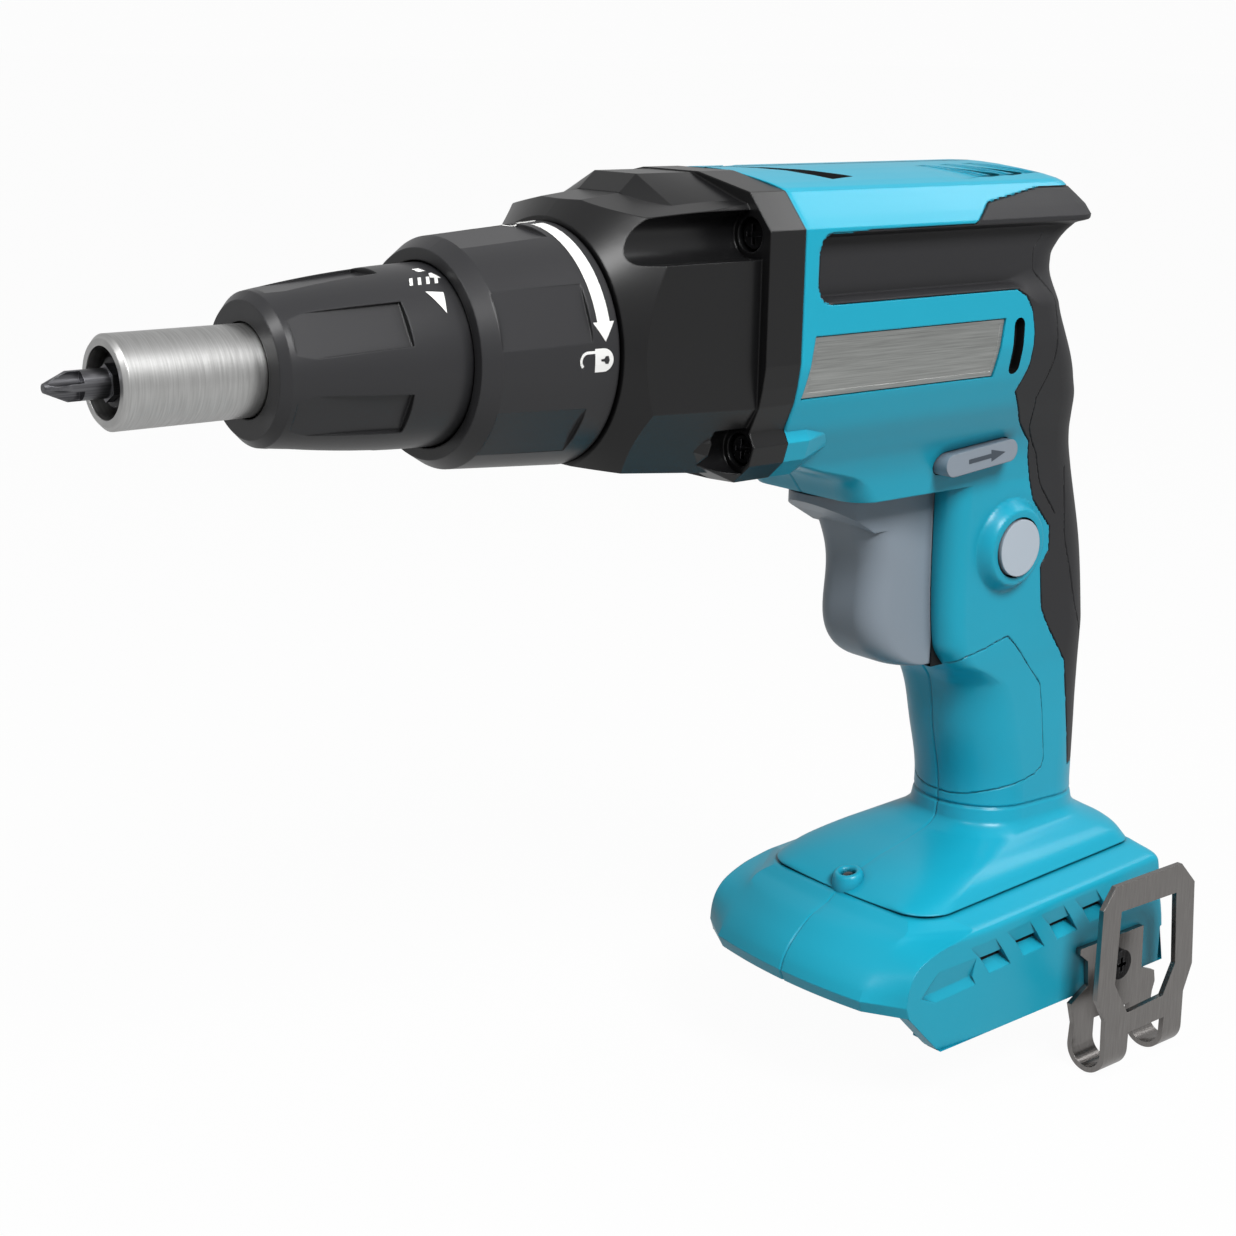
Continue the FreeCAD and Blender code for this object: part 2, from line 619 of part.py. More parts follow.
def make_bearing_plate():
    rear = mm.plate_front + mm.plate_thick
    disc = rod((mm.plate_front, 0, mm.case_bore_height), (rear, 0, mm.case_bore_height),
               mm.case_bore - mm.running_gap)
    bores = [rod((mm.plate_front - 1, 0, height), (rear + 1, 0, height), mm.bearing_radius + mm.running_gap)
             for height in (0.0, motor_height())]
    keep(feature("bearing_plate", disc.cut(Part.makeCompound(bores))))
    front = dim.plate_front + dim.plate_recess
    height = motor_line()
    keep(ring("gear_bearing", front, front + dim.bearing_width, dim.gear_stub_radius + dim.running_gap,
              dim.bearing_radius))
    keep(ring("motor_bearing_front", front, front + dim.bearing_width, dim.shaft_radius + dim.running_gap,
              dim.bearing_radius, height))
    keep(ring("motor_bearing_rear", dim.rear_bearing_front, dim.rear_bearing_front + dim.bearing_width,
              dim.shaft_radius + dim.running_gap, dim.bearing_radius, height))


# Motor

def make_rotor():
    tip_rear = dim.plate_front - dim.free_gap
    tip_front = as_size(gear_front() - mm.free_gap)
    keep(turned("motor_shaft", [
        (tip_front, 0), (tip_front, dim.shaft_tip_radius), (tip_rear, dim.shaft_tip_radius),
        (tip_rear, dim.shaft_radius), (dim.shaft_rear, dim.shaft_radius), (dim.shaft_rear, 0)],
                motor_line()))
    keep(ring("rotor_core", dim.stator_front, dim.stator_front + dim.stator_length, dim.shaft_radius,
              dim.stator_bore - dim.air_gap, motor_line()))


def make_fan():
    rear = dim.fan_front + dim.fan_width
    plate = dim.rib_thick * 0.6
    fan = turned("cooling_fan", [
        (dim.fan_front, dim.shaft_radius), (dim.fan_front, dim.fan_hub), (rear - plate, dim.fan_hub),
        (rear - plate, dim.fan_radius), (rear, dim.fan_radius), (rear, dim.shaft_radius)], motor_line())
    blade = box_outline(-plate / 2, dim.fan_hub - plate, plate / 2, dim.fan_radius - plate)
    first = pad(fan, "YZ_Plane", [blade], dim.fan_front, dim.fan_width)
    polar(fan, first, dim.fan_blades)
    keep(fan)


def make_stator():
    rear = dim.stator_front + dim.stator_length
    inner = dim.stator_radius - dim.stator_back
    core = turned("stator_core", [
        (dim.stator_front, inner), (dim.stator_front, dim.stator_radius), (rear, dim.stator_radius),
                                  (rear, inner)],
        motor_line())
    tooth = box_outline(-dim.tooth_width / 2, dim.stator_bore, dim.tooth_width / 2, inner + dim.seat_gap * 4)
    first = pad(core, "YZ_Plane", [tooth], dim.stator_front, dim.stator_length)
    polar(core, first, dim.stator_teeth)
    keep(core)


def make_coils():
    gap = mm.seat_gap
    wide = mm.tooth_width / 2 + gap
    front, rear = mm.stator_front - gap, mm.stator_front + mm.stator_length + gap
    low, high = mm.stator_bore + mm.air_gap * 2, mm.stator_radius - mm.stator_back - mm.air_gap * 2
    outer = box((front - mm.coil_overhang, -wide - mm.coil_depth, low),
                (rear + mm.coil_overhang, wide + mm.coil_depth, high))
    inner = box((front, -wide, low - 1), (rear, wide, high + 1))
    coils = []
    for index in range(int(mm.stator_teeth)):
        one = outer.cut(inner)
        one.rotate(vector(0, 0, 0), vector(1, 0, 0), 360 * index / mm.stator_teeth)
        one.translate(vector(0, 0, motor_height()))
        coils.append(one)
    keep(feature("stator_coils", Part.makeCompound(coils)))
    front = dim.stator_front + dim.stator_length + dim.coil_overhang + dim.seat_gap * 2
    keep(ring("sensor_board", front, front + dim.sensor_thick, dim.stator_bore,
              dim.stator_radius - dim.stator_back, motor_line()))


# Gear case

def case_section(side, top, bottom):
    """Right half of the case's cross-section: flat floor, chamfers, upright side and a sloping roof."""
    return [(0.66 * side, -bottom), (side, -0.46 * bottom), (side, 0.72 * top), (0.83 * side, 0.88 * top),
            (0.22 * side, top)]


def whole_section(right):
    """Both halves of a cross-section, from its right half."""
    return right + [(-y, z) for y, z in right[::-1]]


def lug_section():
    """Outline of the lug around a lower screw, on the right side."""
    return [(17.0, -22.0), (16.0, -31.0), (24.0, -30.6), (28.6, -26.4), (30.0, -22.0), (28.4, -19.0),
            (22.0, -14.0)]


def lug_end():
    """The same outline where the lug sinks into the form around it."""
    return [(17.0, -20.0), (16.0, -25.0), (20.5, -24.6), (23.8, -22.6), (24.8, -20.4), (24.4, -18.4),
            (21.0, -15.0)]


def tapered(start, low, end, high):
    """Solid between two outlines (y, z) at two places along X."""
    wires = []
    for points, place in ((start, low), (end, high)):
        corners = [vector(place, y, z) for y, z in points]
        wires.append(Part.makePolygon(corners + corners[:1]))
    return Part.makeLoft(wires, True, True)


def case_screw_places():
    return [(side * y, z) for side in (-1, 1)
            for y, z in ((mm.case_screw_low_y, -mm.case_screw_low_z), (mm.case_screw_y, mm.case_screw_z))]


def case_screw_seat():
    return mm.case_rear - mm.screw_seat_thick


def case_flange():
    """Right half of the rear flange, with the lug around the lower screw."""
    side = mm.barrel_half
    return lug_section()[1:-1] + [(0.946 * side, -13.0), (0.976 * side, -9.0), (side, -4.0),
                                  (side, mm.barrel_shoulder), (0.79 * side, 0.905 * mm.flange_top),
                                  (0.28 * side, mm.flange_top)]


def case_step():
    """Raised crown of the case's roof, with a slanting front."""
    half, top = mm.case_step_half, mm.case_step_top
    foot = [(3.3 * half, mm.case_top_front - 6.0), (3.3 * half, mm.case_top_front - 3.4),
            (half, mm.case_top_front + 1.8)]
    full = [(3.3 * half, mm.case_top_front - 6.0), (3.3 * half, mm.case_top_front - 2.4), (half, top)]
    rear = [(3.3 * half, mm.case_top_front - 6.0), (3.3 * half, mm.case_top_rear - 3.0), (half, top)]
    front = tapered(whole_section(foot), mm.case_step_front, whole_section(full), mm.case_step_rear)
    return joined([front, tapered(whole_section(full), mm.case_step_rear, whole_section(rear), mm.case_rear)])


def screw_channel(y, z):
    """Channel over a case screw: round at the bottom and open to the outside."""
    front, radius = mm.case_front, mm.screw_channel_radius
    if z < 0:
        front = mm.screw_channel_low_front
    rear = mm.case_rear - mm.flange_thick
    out = math.copysign(1.0, y)
    rise = 0.1 * math.copysign(1.0, z) * radius
    mouth = [(y - out * rise, z + radius), (y + out * 15, z + radius + rise), (y + out * 15, z - radius + rise),
             (y + out * rise, z - radius)]
    return joined([rod((front, y, z), (rear, y, z), radius), prism(mouth, "x", front, rear)])


def make_gear_case():
    flare = turned("gear_case_flare", [
        (dim.case_front, 0), (dim.case_front, dim.case_front_radius),
        (dim.case_flare_x, dim.case_flare_radius), (dim.case_rear, dim.case_flare_end), (dim.case_rear, 0)])
    front = whole_section(case_section(mm.case_side, mm.case_top_front, mm.case_bottom_front))
    rear = whole_section(case_section(mm.case_side, mm.case_top_rear, mm.case_bottom_rear))
    block = feature("gear_case_block", tapered(front, mm.case_front, rear, mm.case_rear))
    shell = boolean("Part::MultiCommon", "gear_case_form", flare, [block])
    flange_front = mm.case_rear - mm.flange_thick
    lug = tapered(lug_end(), mm.lug_front, lug_section(), flange_front)
    added = [prism(whole_section(case_flange()), "x", flange_front, mm.case_rear), case_step(), lug,
             mirrored(lug)]
    extras = feature("gear_case_flange", joined(added))
    spigot = ring("gear_case_spigot", dim.case_spigot_front, dim.case_spigot_rear, dim.bush_radius,
                  dim.tube_socket_radius - dim.free_gap)
    whole = boolean("Part::MultiFuse", "gear_case_whole", shell, [extras, spigot])
    cuts = [rod((mm.case_wall_x, 0, mm.case_bore_height), (mm.case_rear + 1, 0, mm.case_bore_height),
                mm.case_bore),
            rod((mm.case_spigot_front - 1, 0, 0), (mm.case_rear, 0, 0), mm.bush_radius)]
    seat = case_screw_seat()
    for y, z in case_screw_places():
        cuts.append(screw_channel(y, z))
        cuts.append(rod((flange_front - 1, y, z), (seat, y, z), mm.screw_pocket_radius))
        cuts.append(rod((seat - 1, y, z), (mm.case_rear + 1, y, z), mm.case_screw_radius + mm.seat_gap))
    tool = feature("gear_case_cuts", Part.makeCompound(cuts))
    keep(boolean("Part::Cut", "gear_case", whole, tool))


def cross_recess(depth):
    bars = [box((-0.1, -mm.cross_length / 2, -mm.cross_width / 2),
                (depth, mm.cross_length / 2, mm.cross_width / 2)),
            box((-0.1, -mm.cross_width / 2, -mm.cross_length / 2),
                (depth, mm.cross_width / 2, mm.cross_length / 2))]
    return joined(bars)


def screw(head_radius, head_height, radius, length):
    """Cross-head screw along +X with its head's top at the origin."""
    shape = joined([rod((0, 0, 0), (head_height, 0, 0), head_radius),
                    rod((head_height, 0, 0), (head_height + length, 0, 0), radius)])
    return shape.cut(cross_recess(mm.cross_depth))


def make_case_screws():
    seat = case_screw_seat()
    screws = []
    for y, z in case_screw_places():
        one = screw(mm.case_screw_head, mm.case_screw_head_height, mm.case_screw_radius,
                    mm.case_screw_length)
        one.translate(vector(seat - mm.case_screw_head_height, y, z))
        screws.append(one)
    keep(feature("gear_case_screws", Part.makeCompound(screws)))


# Housing form: level slices stacked from the foot to the roof

def slice_wire(height, front, rear, half, front_round, rear_round):
    """Rounded rectangle at one height."""
    corners = [(front, half, front_round, 1, -1), (front, -half, front_round, 1, 1),
               (rear, -half, rear_round, -1, 1), (rear, half, rear_round, -1, -1)]
    arcs = []
    for x, y, radius, into_x, into_y in corners:
        bulge = radius * (1 - math.sqrt(0.5))
        along = vector(x + into_x * radius, y, height)
        across = vector(x, y + into_y * radius, height)
        middle = vector(x + into_x * bulge, y + into_y * bulge, height)
        first, last = (along, across) if into_x * into_y < 0 else (across, along)
        arcs.append((first, middle, last))
    edges = []
    for index, (first, middle, last) in enumerate(arcs):
        edges.append(Part.Arc(first, middle, last).toShape())
        edges.append(Part.makeLine(last, arcs[(index + 1) % len(arcs)][0]))
    return Part.Wire(edges)


def foot_wire(height, nose, shoulder, shoulder_half, corner, half, rear):
    """Foot outline at one height: bowed front, a facet at each front corner, straight sides."""
    points = [(shoulder, shoulder_half), (corner, half), (rear, half), (rear, -half), (corner, -half),
              (shoulder, -shoulder_half)]
    points = [vector(x, y, height) for x, y in points]
    edges = [Part.makeLine(a, b) for a, b in zip(points, points[1:])]
    edges.append(Part.Arc(points[-1], vector(nose, 0, height), points[0]).toShape())
    return Part.Wire(edges)


def loft(rows, inset, ruled):
    wires = []
    for height, front, rear, half, front_round, rear_round in rows:
        inner_front = front + inset
        if inset and front == mm.barrel_front:
            inner_front = mm.barrel_front - 1
        wires.append(slice_wire(height, inner_front, rear - inset, half - inset,
                                max(front_round - inset, 0.5),
                                max(rear_round - inset, 0.5)))
    return Part.makeLoft(wires, True, ruled)


def roof_rows(inset):
    rise = mm.barrel_top - mm.barrel_shoulder
    shape = [(0.0, 1.0, 0.0, 8.0), (0.35, 0.915, 0.5, 8.0), (0.7, 0.79, 3.0, 7.0), (0.87, 0.53, 7.0, 6.0),
             (1.0, 0.2, 11.0, 4.0)]
    return [(mm.barrel_shoulder + part * (rise - inset), mm.barrel_front, mm.tail_rear - back,
             mm.barrel_half * width, 0.8, corner) for part, width, back, corner in shape]


def recess_rows():
    edge = 0.8
    low, high, half = mm.recess_low, mm.recess_high, mm.barrel_half
    deep = half - mm.recess_depth
    return [(high, mm.barrel_front, mm.tail_rear, half, 0.8, 8.0),
            (high - edge, mm.barrel_front, mm.waist_rear + 2, deep, 0.8, 12.0),
            (low + edge, mm.barrel_front, mm.waist_rear, deep, 0.8, 12.0),
            (low, mm.barrel_front, mm.waist_rear, half, 0.8, 12.0)]


def neck_rows(inset):
    half, drop, rear = mm.barrel_half, mm.chin_drop, mm.neck_rear
    return [(-13.0, mm.barrel_front, rear - 17.0, half, 0.8, 13.0),
            (-20.0, mm.barrel_front, rear - 12.5, half - 3.2, 0.8, 13.0),
            (-26.0, mm.barrel_front + 1.0 + 2 * inset, rear - 8.7, mm.neck_half + 6.2, 2.0, 13.0),
            (-31.0, mm.chin_front - 21.0, rear - 5.6, mm.neck_half + 3.2, 4.0, 13.0),
            (-36.0, mm.chin_front - 5.5, rear - 2.9, mm.neck_half + 1.2, 6.0, 13.0),
            (drop + inset, mm.chin_front, rear, mm.neck_half, 7.0, 13.0)]


def handle_rows(inset):
    front, rear, half, low = mm.switch_front, mm.grip_low_rear, mm.grip_half, mm.grip_low
    return [(mm.chin_drop + inset, front, mm.neck_rear, mm.neck_half, 5.0, 13.0),
            (-65.0, front + 0.5, rear - 6.8, half + 1.0, 5.0, 13.0),
            (-84.0, front + 2.5, rear - 3.3, half + 0.6, 6.0, 13.0),
            (-90.0, front + 7.0, rear - 2.3, half + 0.4, 8.0, 13.0),
            (-96.0, mm.grip_low_front - 7.1, rear - 1.6, half + 0.2, 10.0, 13.0),
            (-111.0, mm.grip_low_front - 3.8, rear - 0.4, half, 12.0, 13.0),
            (low, mm.grip_low_front, rear, half, 12.0, 13.0)]


def flare_rows(inset):
    drop = 0.8 * inset
    front, rear, half, low = mm.grip_low_front, mm.grip_low_rear, mm.grip_half, mm.grip_low
    return [(low, front, rear, half, 12.0, 13.0),
            (low - 6.0 - drop, front - 0.6, rear + 0.4, half + 0.6, 12.0, 13.0),
            (low - 9.5 - drop, front - 2.6, rear + 1.2, half + 2.3, 12.0, 12.0),
            (low - 12.0 - drop, front - 9.6, rear + 2.7, half + 5.0, 12.0, 11.0),
            (low - 14.5 - drop, front - 23.6, rear + 4.7, half + 8.5, 12.0, 10.0),
            (low - 17.0 - drop, front - 32.6, rear + 5.7, half + 11.5, 11.0, 8.0),
            (mm.deck_height - drop, front - 36.6, rear + 6.2, mm.deck_half, 10.0, 6.0)]


def foot_form(inset):
    drop = 0.8 * inset
    nose, half, rear = mm.foot_front + inset, mm.foot_half - inset, mm.foot_rear - inset
    side = 0.5 * inset
    low = mm.band_low - (1 if inset else 0)
    rows = [(mm.deck_height - drop, nose + 19.4, nose + 20.8, 24.0 - side, nose + 27.6, mm.deck_half - inset,
             rear - 3.5),
            (mm.deck_height - 2.2 - drop, nose + 16.2, nose + 16.0, 27.2 - side, nose + 21.2, half - 1.6,
             rear - 2.4),
            (mm.deck_height - 4.0 - drop, nose + 10.4, nose + 10.6, 28.6 - side, nose + 14.4, half - 0.1,
             rear - 1.6),
            (mm.deck_height - 7.2 - drop, nose + 5.4, nose + 6.0, 29.6 - side, nose + 9.6, half, rear - 0.8),
            (mm.deck_height - 10.7 - drop, nose + 2.1, nose + 2.8, 30.0 - side, nose + 8.2, half, rear - 0.3),
            (mm.band_top, nose + 0.3, nose + 1.0, 30.0 - side, nose + 7.8, half, rear),
            (low, nose + 0.7, nose + 1.6, 29.6 - side, nose + 8.2, half, rear)]
    return Part.makeLoft([foot_wire(*row) for row in rows], True, True)


def body_form(inset):
    """The housing's whole form, drawn in by inset on every side."""
    shoulder = [(mm.recess_high, mm.barrel_front, mm.tail_rear, mm.barrel_half, 0.8, 8.0),
                (mm.barrel_shoulder, mm.barrel_front, mm.tail_rear, mm.barrel_half, 0.8, 8.0)]
    waist = [(mm.recess_low, mm.barrel_front, mm.waist_rear, mm.barrel_half, 0.8, 12.0), neck_rows(inset)[0]]
    parts = [loft(roof_rows(inset), inset, True), loft(shoulder, inset, True),
             loft(recess_rows(), inset, True),
             loft(waist, inset, True), loft(neck_rows(inset), inset, True),
             loft(handle_rows(inset), inset, False), loft(flare_rows(inset), inset, False), foot_form(inset)]
    if not inset:
        parts.append(box((mm.barrel_front, -mm.barrel_half, mm.recess_low),
                         (mm.recess_front, mm.barrel_half, mm.recess_high)))
    return joined(parts)


# Housing: shell, ribs, bosses, cuts and rubber cover

def house_screw_places():
    """Places (x, z) of the screws that join the two halves."""
    return [(163.0, -17.0), (236.0, 0.0), (258.0, -38.0), (262.0, -104.0), (199.0, -166.0), (290.0, -166.0)]


def both_sides(shape):
    return [shape, mirrored(shape)]


def housing_cheeks():
    """Side cheeks of the battery bay, with the rails that the battery slides on."""
    outline = [(mm.cheek_front - 12.6, mm.band_low), (mm.cheek_front, mm.cheek_low),
               (mm.foot_rear, mm.cheek_low + 1),
               (mm.foot_rear, mm.band_low + 6), (mm.cheek_front - 12.6, mm.band_low + 6)]
    inner = mm.foot_half - mm.cheek_thick
    cheek = prism(outline, "y", inner, mm.foot_half)
    rail = box((mm.cheek_front, mm.rail_inner, mm.cheek_low + 1),
               (mm.foot_rear, inner, mm.cheek_low + 1 + mm.rail_height))
    return both_sides(cheek) + both_sides(rail)


def button_bezel():
    base = mm.grip_half - 1
    return Part.makeCone(mm.bezel_radius, mm.button_radius + 2.0, mm.bezel_face - base,
                         vector(mm.button_x, -base, mm.button_z), vector(0, -1, 0))


def led_axis():
    tilt = math.radians(mm.led_tilt)
    return vector(-math.sin(tilt), 0, math.cos(tilt))


def led_rod(radius, low, high):
    """Rod along the tilted lamp axis, from low to high measured from the deck."""
    start = vector(mm.led_x, 0, mm.led_z) + led_axis() * low
    return Part.makeCylinder(radius, high - low, start, led_axis())


def housing_ribs():
    """Inner walls and bosses that stay when the cavity is cut."""
    reach = mm.foot_half
    top, low = mm.barrel_top, -6.0
    ribs = []
    for front in (mm.stator_front + 1, mm.stator_front + mm.stator_length - 1 - 2 * mm.rib_thick):
        hole = rod((front - 1, 0, motor_height()), (front + 9, 0, motor_height()),
                   mm.stator_radius + mm.running_gap)
        ribs.append(box((front, -reach, low), (front + mm.rib_thick, reach, top)).cut(hole))
    seat = mm.rear_bearing_front
    hole = rod((seat - 1, 0, motor_height()), (seat + 9, 0, motor_height()),
               mm.bearing_radius + mm.running_gap)
    ribs.append(box((seat, -reach, low), (seat + mm.bearing_width, reach, top)).cut(hole))
    for height in (mm.switch_low + 3, mm.switch_low + 17):
        ribs.append(box((mm.switch_x + 1, -reach, height),
                        (mm.switch_x + 36, reach, height + mm.rib_thick)).cut(switch_block()))
    for y, z in case_screw_places():
        ribs.append(rod((mm.barrel_front, y, z), (mm.barrel_front + mm.lug_core_length, y, z), mm.lug_radius))
    for x, z in house_screw_places():
        ribs.append(rod((x, -reach, z), (x, reach, z), mm.house_boss_radius))
    ledge_low = mm.block_base_top - mm.block_base_thick
    inner = mm.foot_half - mm.cheek_thick
    ribs += both_sides(box((mm.base_front, inner - 2.5, ledge_low - 2.5),
                           (mm.base_rear, inner + 2.5, ledge_low)))
    ribs += both_sides(box((mm.base_front, inner, ledge_low),
                           (mm.base_rear, inner + 2.5, mm.block_base_top)))
    return ribs


def lever_outline(grow):
    """Stadium of the reversing lever about its own centre."""
    flat = (mm.lever_length - mm.lever_tall) / 2
    return flat, mm.lever_tall / 2 + grow


def lever_bar(grow, reach):
    flat, radius = lever_outline(grow)
    bar = joined([box((-flat, -reach, -radius), (flat, reach, radius)),
                  rod((-flat, -reach, 0), (-flat, reach, 0), radius),
                  rod((flat, -reach, 0), (flat, reach, 0), radius)])
    bar.rotate(vector(0, 0, 0), vector(0, 1, 0), -mm.lever_tilt)
    bar.translate(vector(mm.lever_x, 0, mm.lever_z))
    return bar


def name_plate_corners(grow):
    return [(mm.plate_left - grow, mm.plate_low - grow),
            (mm.plate_right - mm.plate_slant + grow, mm.plate_low - grow),
            (mm.plate_right + grow, mm.plate_high + grow),
            (mm.plate_left + mm.plate_slant - grow, mm.plate_high + grow)]


def housing_cuts():
    side = mm.trigger_half + mm.free_gap
    cuts = [box((mm.chin_front - 8, -side, mm.trigger_low - 2 * mm.free_gap),
                (mm.switch_x - mm.free_gap, side, mm.chin_drop)),
            lever_bar(mm.free_gap, mm.barrel_half),
            rod((mm.button_x, -mm.bezel_face - 2, mm.button_z),
                (mm.button_x, -mm.switch_half - 1, mm.button_z),
                mm.button_radius + mm.free_gap),
            led_rod(mm.led_radius + mm.seat_gap, -mm.led_length, mm.led_bezel_proud + 2)]
    half = mm.barrel_half
    cuts += both_sides(prism(name_plate_corners(mm.seat_gap), "y", half - mm.name_plate_thick, half + 1))
    cuts += both_sides(box((mm.plate_right + 3.5, half - mm.wall - 1, mm.plate_low),
                           (mm.plate_right + 6.5, half + 1, mm.plate_high)))
    for index in range(int(mm.vent_count)):
        x, z = mm.vent_first + index * mm.vent_pitch, mm.vent_height + index * mm.vent_rise
        cuts += both_sides(box((x - mm.vent_length / 2, mm.deck_half, z - mm.vent_tall / 2),
                               (x + mm.vent_length / 2, mm.foot_half + 1, z + mm.vent_tall / 2)))
    for x, z in house_screw_places():
        cuts.append(rod((x, mm.foot_half + 1, z), (x, mm.house_head_y, z),
                        mm.house_screw_head + mm.free_gap))
        cuts.append(rod((x, mm.house_head_y, z), (x, mm.house_head_y - mm.house_screw_length - 1, z),
                        mm.house_screw_radius + mm.seat_gap))
    for y, z in case_screw_places():
        cuts.append(rod((mm.barrel_front - 1, y, z),
                        (case_screw_seat() + mm.case_screw_length + mm.free_gap, y, z),
                        mm.case_screw_radius + mm.seat_gap))
    cuts.append(rod((mm.clip_screw_x, -mm.foot_half - 1, mm.clip_screw_z),
                    (mm.clip_screw_x, mm.cheek_thick + 1 - mm.foot_half, mm.clip_screw_z), mm.clip_screw_radius))
    return cuts


def rubber_zone():
    """Side outline of the soft cover: recess, tail and the back of the handle."""
    outline = [
        (mm.recess_front, mm.recess_low), (mm.recess_front, mm.recess_high), (204.5, 24.3), (211.7, 28.8),
        (231.8, 31.5), (300.0, 31.5), (300.0, -126.0), (275.0, -126.0), (271.8, -109.0), (268.8, -95.0),
        (260.0, -83.6), (257.0, -78.8), (255.0, -66.9), (257.7, -63.0), (257.0, -56.5), (248.8, -48.2),
        (246.2, -41.6), (242.0, -32.0), (234.0, -26.0), (228.5, -20.0), (224.0, -18.0), (228.1, -10.3),
        (226.7, 3.1), (220.6, mm.recess_low)]
    return prism(outline, "y", -mm.foot_half, mm.foot_half)


def make_housing():
    outside = body_form(0.0)
    lug = tapered(lug_section(), mm.barrel_front, lug_end(), mm.barrel_front + mm.lug_length)
    outer = feature("housing_outer", joined([outside, *housing_cheeks(), *both_sides(lug), button_bezel(),
                                             led_rod(mm.led_bezel_radius, -mm.led_length / 2,
                                                     mm.led_bezel_proud - 1)]))
    hollow = feature("housing_hollow", body_form(mm.wall).cut(Part.makeCompound(housing_ribs())))
    shell = boolean("Part::Cut", "housing_shell", outer, hollow)
    openings = feature("housing_openings", joined(housing_cuts()))
    whole = boolean("Part::Cut", "housing_whole", shell, openings)
    zone = feature("rubber_zone", rubber_zone().common(outside).cut(body_form(mm.rubber_thick)))
    hard = boolean("Part::Cut", "housing_hard", whole, zone)
    soft = boolean("Part::MultiCommon", "rubber_soft", whole, [zone])
    for side, name in ((-1, "left"), (1, "right")):
        half = doc.addObject("Part::Box", "half_space_" + name)
        half.Label = "half_space_" + name
        half.Length, half.Width, half.Height = 400, 100, 400
        half.Placement.Base = vector(0, 0, -300)
        offset = "-100 - Sizes.part_gap / 2" if side < 0 else "Sizes.part_gap / 2"
        half.setExpression("Placement.Base.y", offset)
        keep(boolean("Part::MultiCommon", "housing_" + name, hard, [half]))
        keep(boolean("Part::MultiCommon", "rubber_cover_" + name, soft, [half]))


def make_house_screws():
    screws = []
    for x, z in house_screw_places():
        one = screw(mm.house_screw_head, mm.house_head_height, mm.house_screw_radius, mm.house_screw_length)
        one.rotate(vector(0, 0, 0), vector(0, 0, 1), -90)
        one.translate(vector(x, mm.house_head_y + mm.house_head_height, z))
        screws.append(one)
    keep(feature("housing_screws", Part.makeCompound(screws)))


def make_name_plates():
    low, high = dim.plate_low, dim.plate_high
    outline = [(dim.plate_left, low), (dim.plate_right - dim.plate_slant, low), (dim.plate_right, high),
               (dim.plate_left + dim.plate_slant, high)]
    keep(padded("name_plate_left", "XZ_Plane", outline, dim.barrel_half - dim.name_plate_thick,
                dim.name_plate_thick))
    keep(padded("name_plate_right", "XZ_Plane", outline, -dim.barrel_half, dim.name_plate_thick))


# Trigger, switch, lock button and reversing lever

def trigger_rows():
    front, low = mm.trigger_front, mm.trigger_low
    return [(low, front + 18.6), (low + 3.1, front + 10.6), (low + 8.0, front + 6.2),
            (low + 20.9, front + 4.9),
            (low + 37.5, front + 1.8), (low + 44.0, front - 0.4)]


def make_trigger():
    half, back = mm.trigger_half, mm.trigger_back
    wires = [slice_wire(height, front, back, half, 7.0, 0.5) for height, front in trigger_rows()]
    grip = Part.makeLoft(wires, True, False)
    top = mm.chin_drop - mm.free_gap
    lip = [(mm.trigger_front - 11.1, top), (mm.trigger_front - 11.1, top - 2),
           (mm.trigger_front - 2.9, top - 6),
           (mm.trigger_front + 4, top - 10), (back, top - 10), (back, top)]
    lip = prism(lip, "y", -half, half).common(rod((mm.trigger_front, 0, top),
                                                  (mm.trigger_front, 0, top - 12), half + 0.4)
                                              .fuse(box((mm.trigger_front, -half, top - 12),
                                                        (back, half, top))))
    plunger = rod((back - 1, 0, mm.plunger_z), (back + mm.plunger_reach, 0, mm.plunger_z), mm.plunger_radius)
    keep(feature("trigger", joined([grip, lip, plunger])))


def switch_block():
    return box((mm.switch_x, -mm.switch_half, mm.switch_low),
               (mm.switch_x + mm.switch_length, mm.switch_half, mm.switch_top))


def make_switch():
    body = padded("switch_body", "YZ_Plane",
                  box_outline(-dim.switch_half, dim.switch_low, dim.switch_half, dim.switch_top),
                  dim.switch_x, dim.switch_length)
    spring_bore = dim.trigger_spring_radius + dim.trigger_spring_wire / 2 + dim.free_gap
    for radius, depth in ((spring_bore, dim.spring_pocket),
                          (dim.plunger_radius + dim.free_gap, dim.spring_pocket * 2.4)):
        bore = pad(body, "YZ_Plane", [], dim.switch_x, depth, "PartDesign::Pocket",
                   [(0, dim.plunger_z, radius)])
        bore.Reversed = True
    keep(body)
    start = mm.trigger_back + mm.seat_gap
    length = mm.switch_x + mm.spring_pocket - mm.seat_gap - start
    keep(feature("trigger_spring", coil(start, mm.plunger_z, mm.trigger_spring_radius,
                                        mm.trigger_spring_wire, length,
                                        mm.trigger_spring_turns)))


def make_lock_button():
    body = new_body("lock_button")
    pad(body, "XZ_Plane", [], dim.button_inner, dim.button_face - dim.button_inner,
        circles=[(dim.button_x, dim.button_z, dim.button_radius)])
    keep(body)


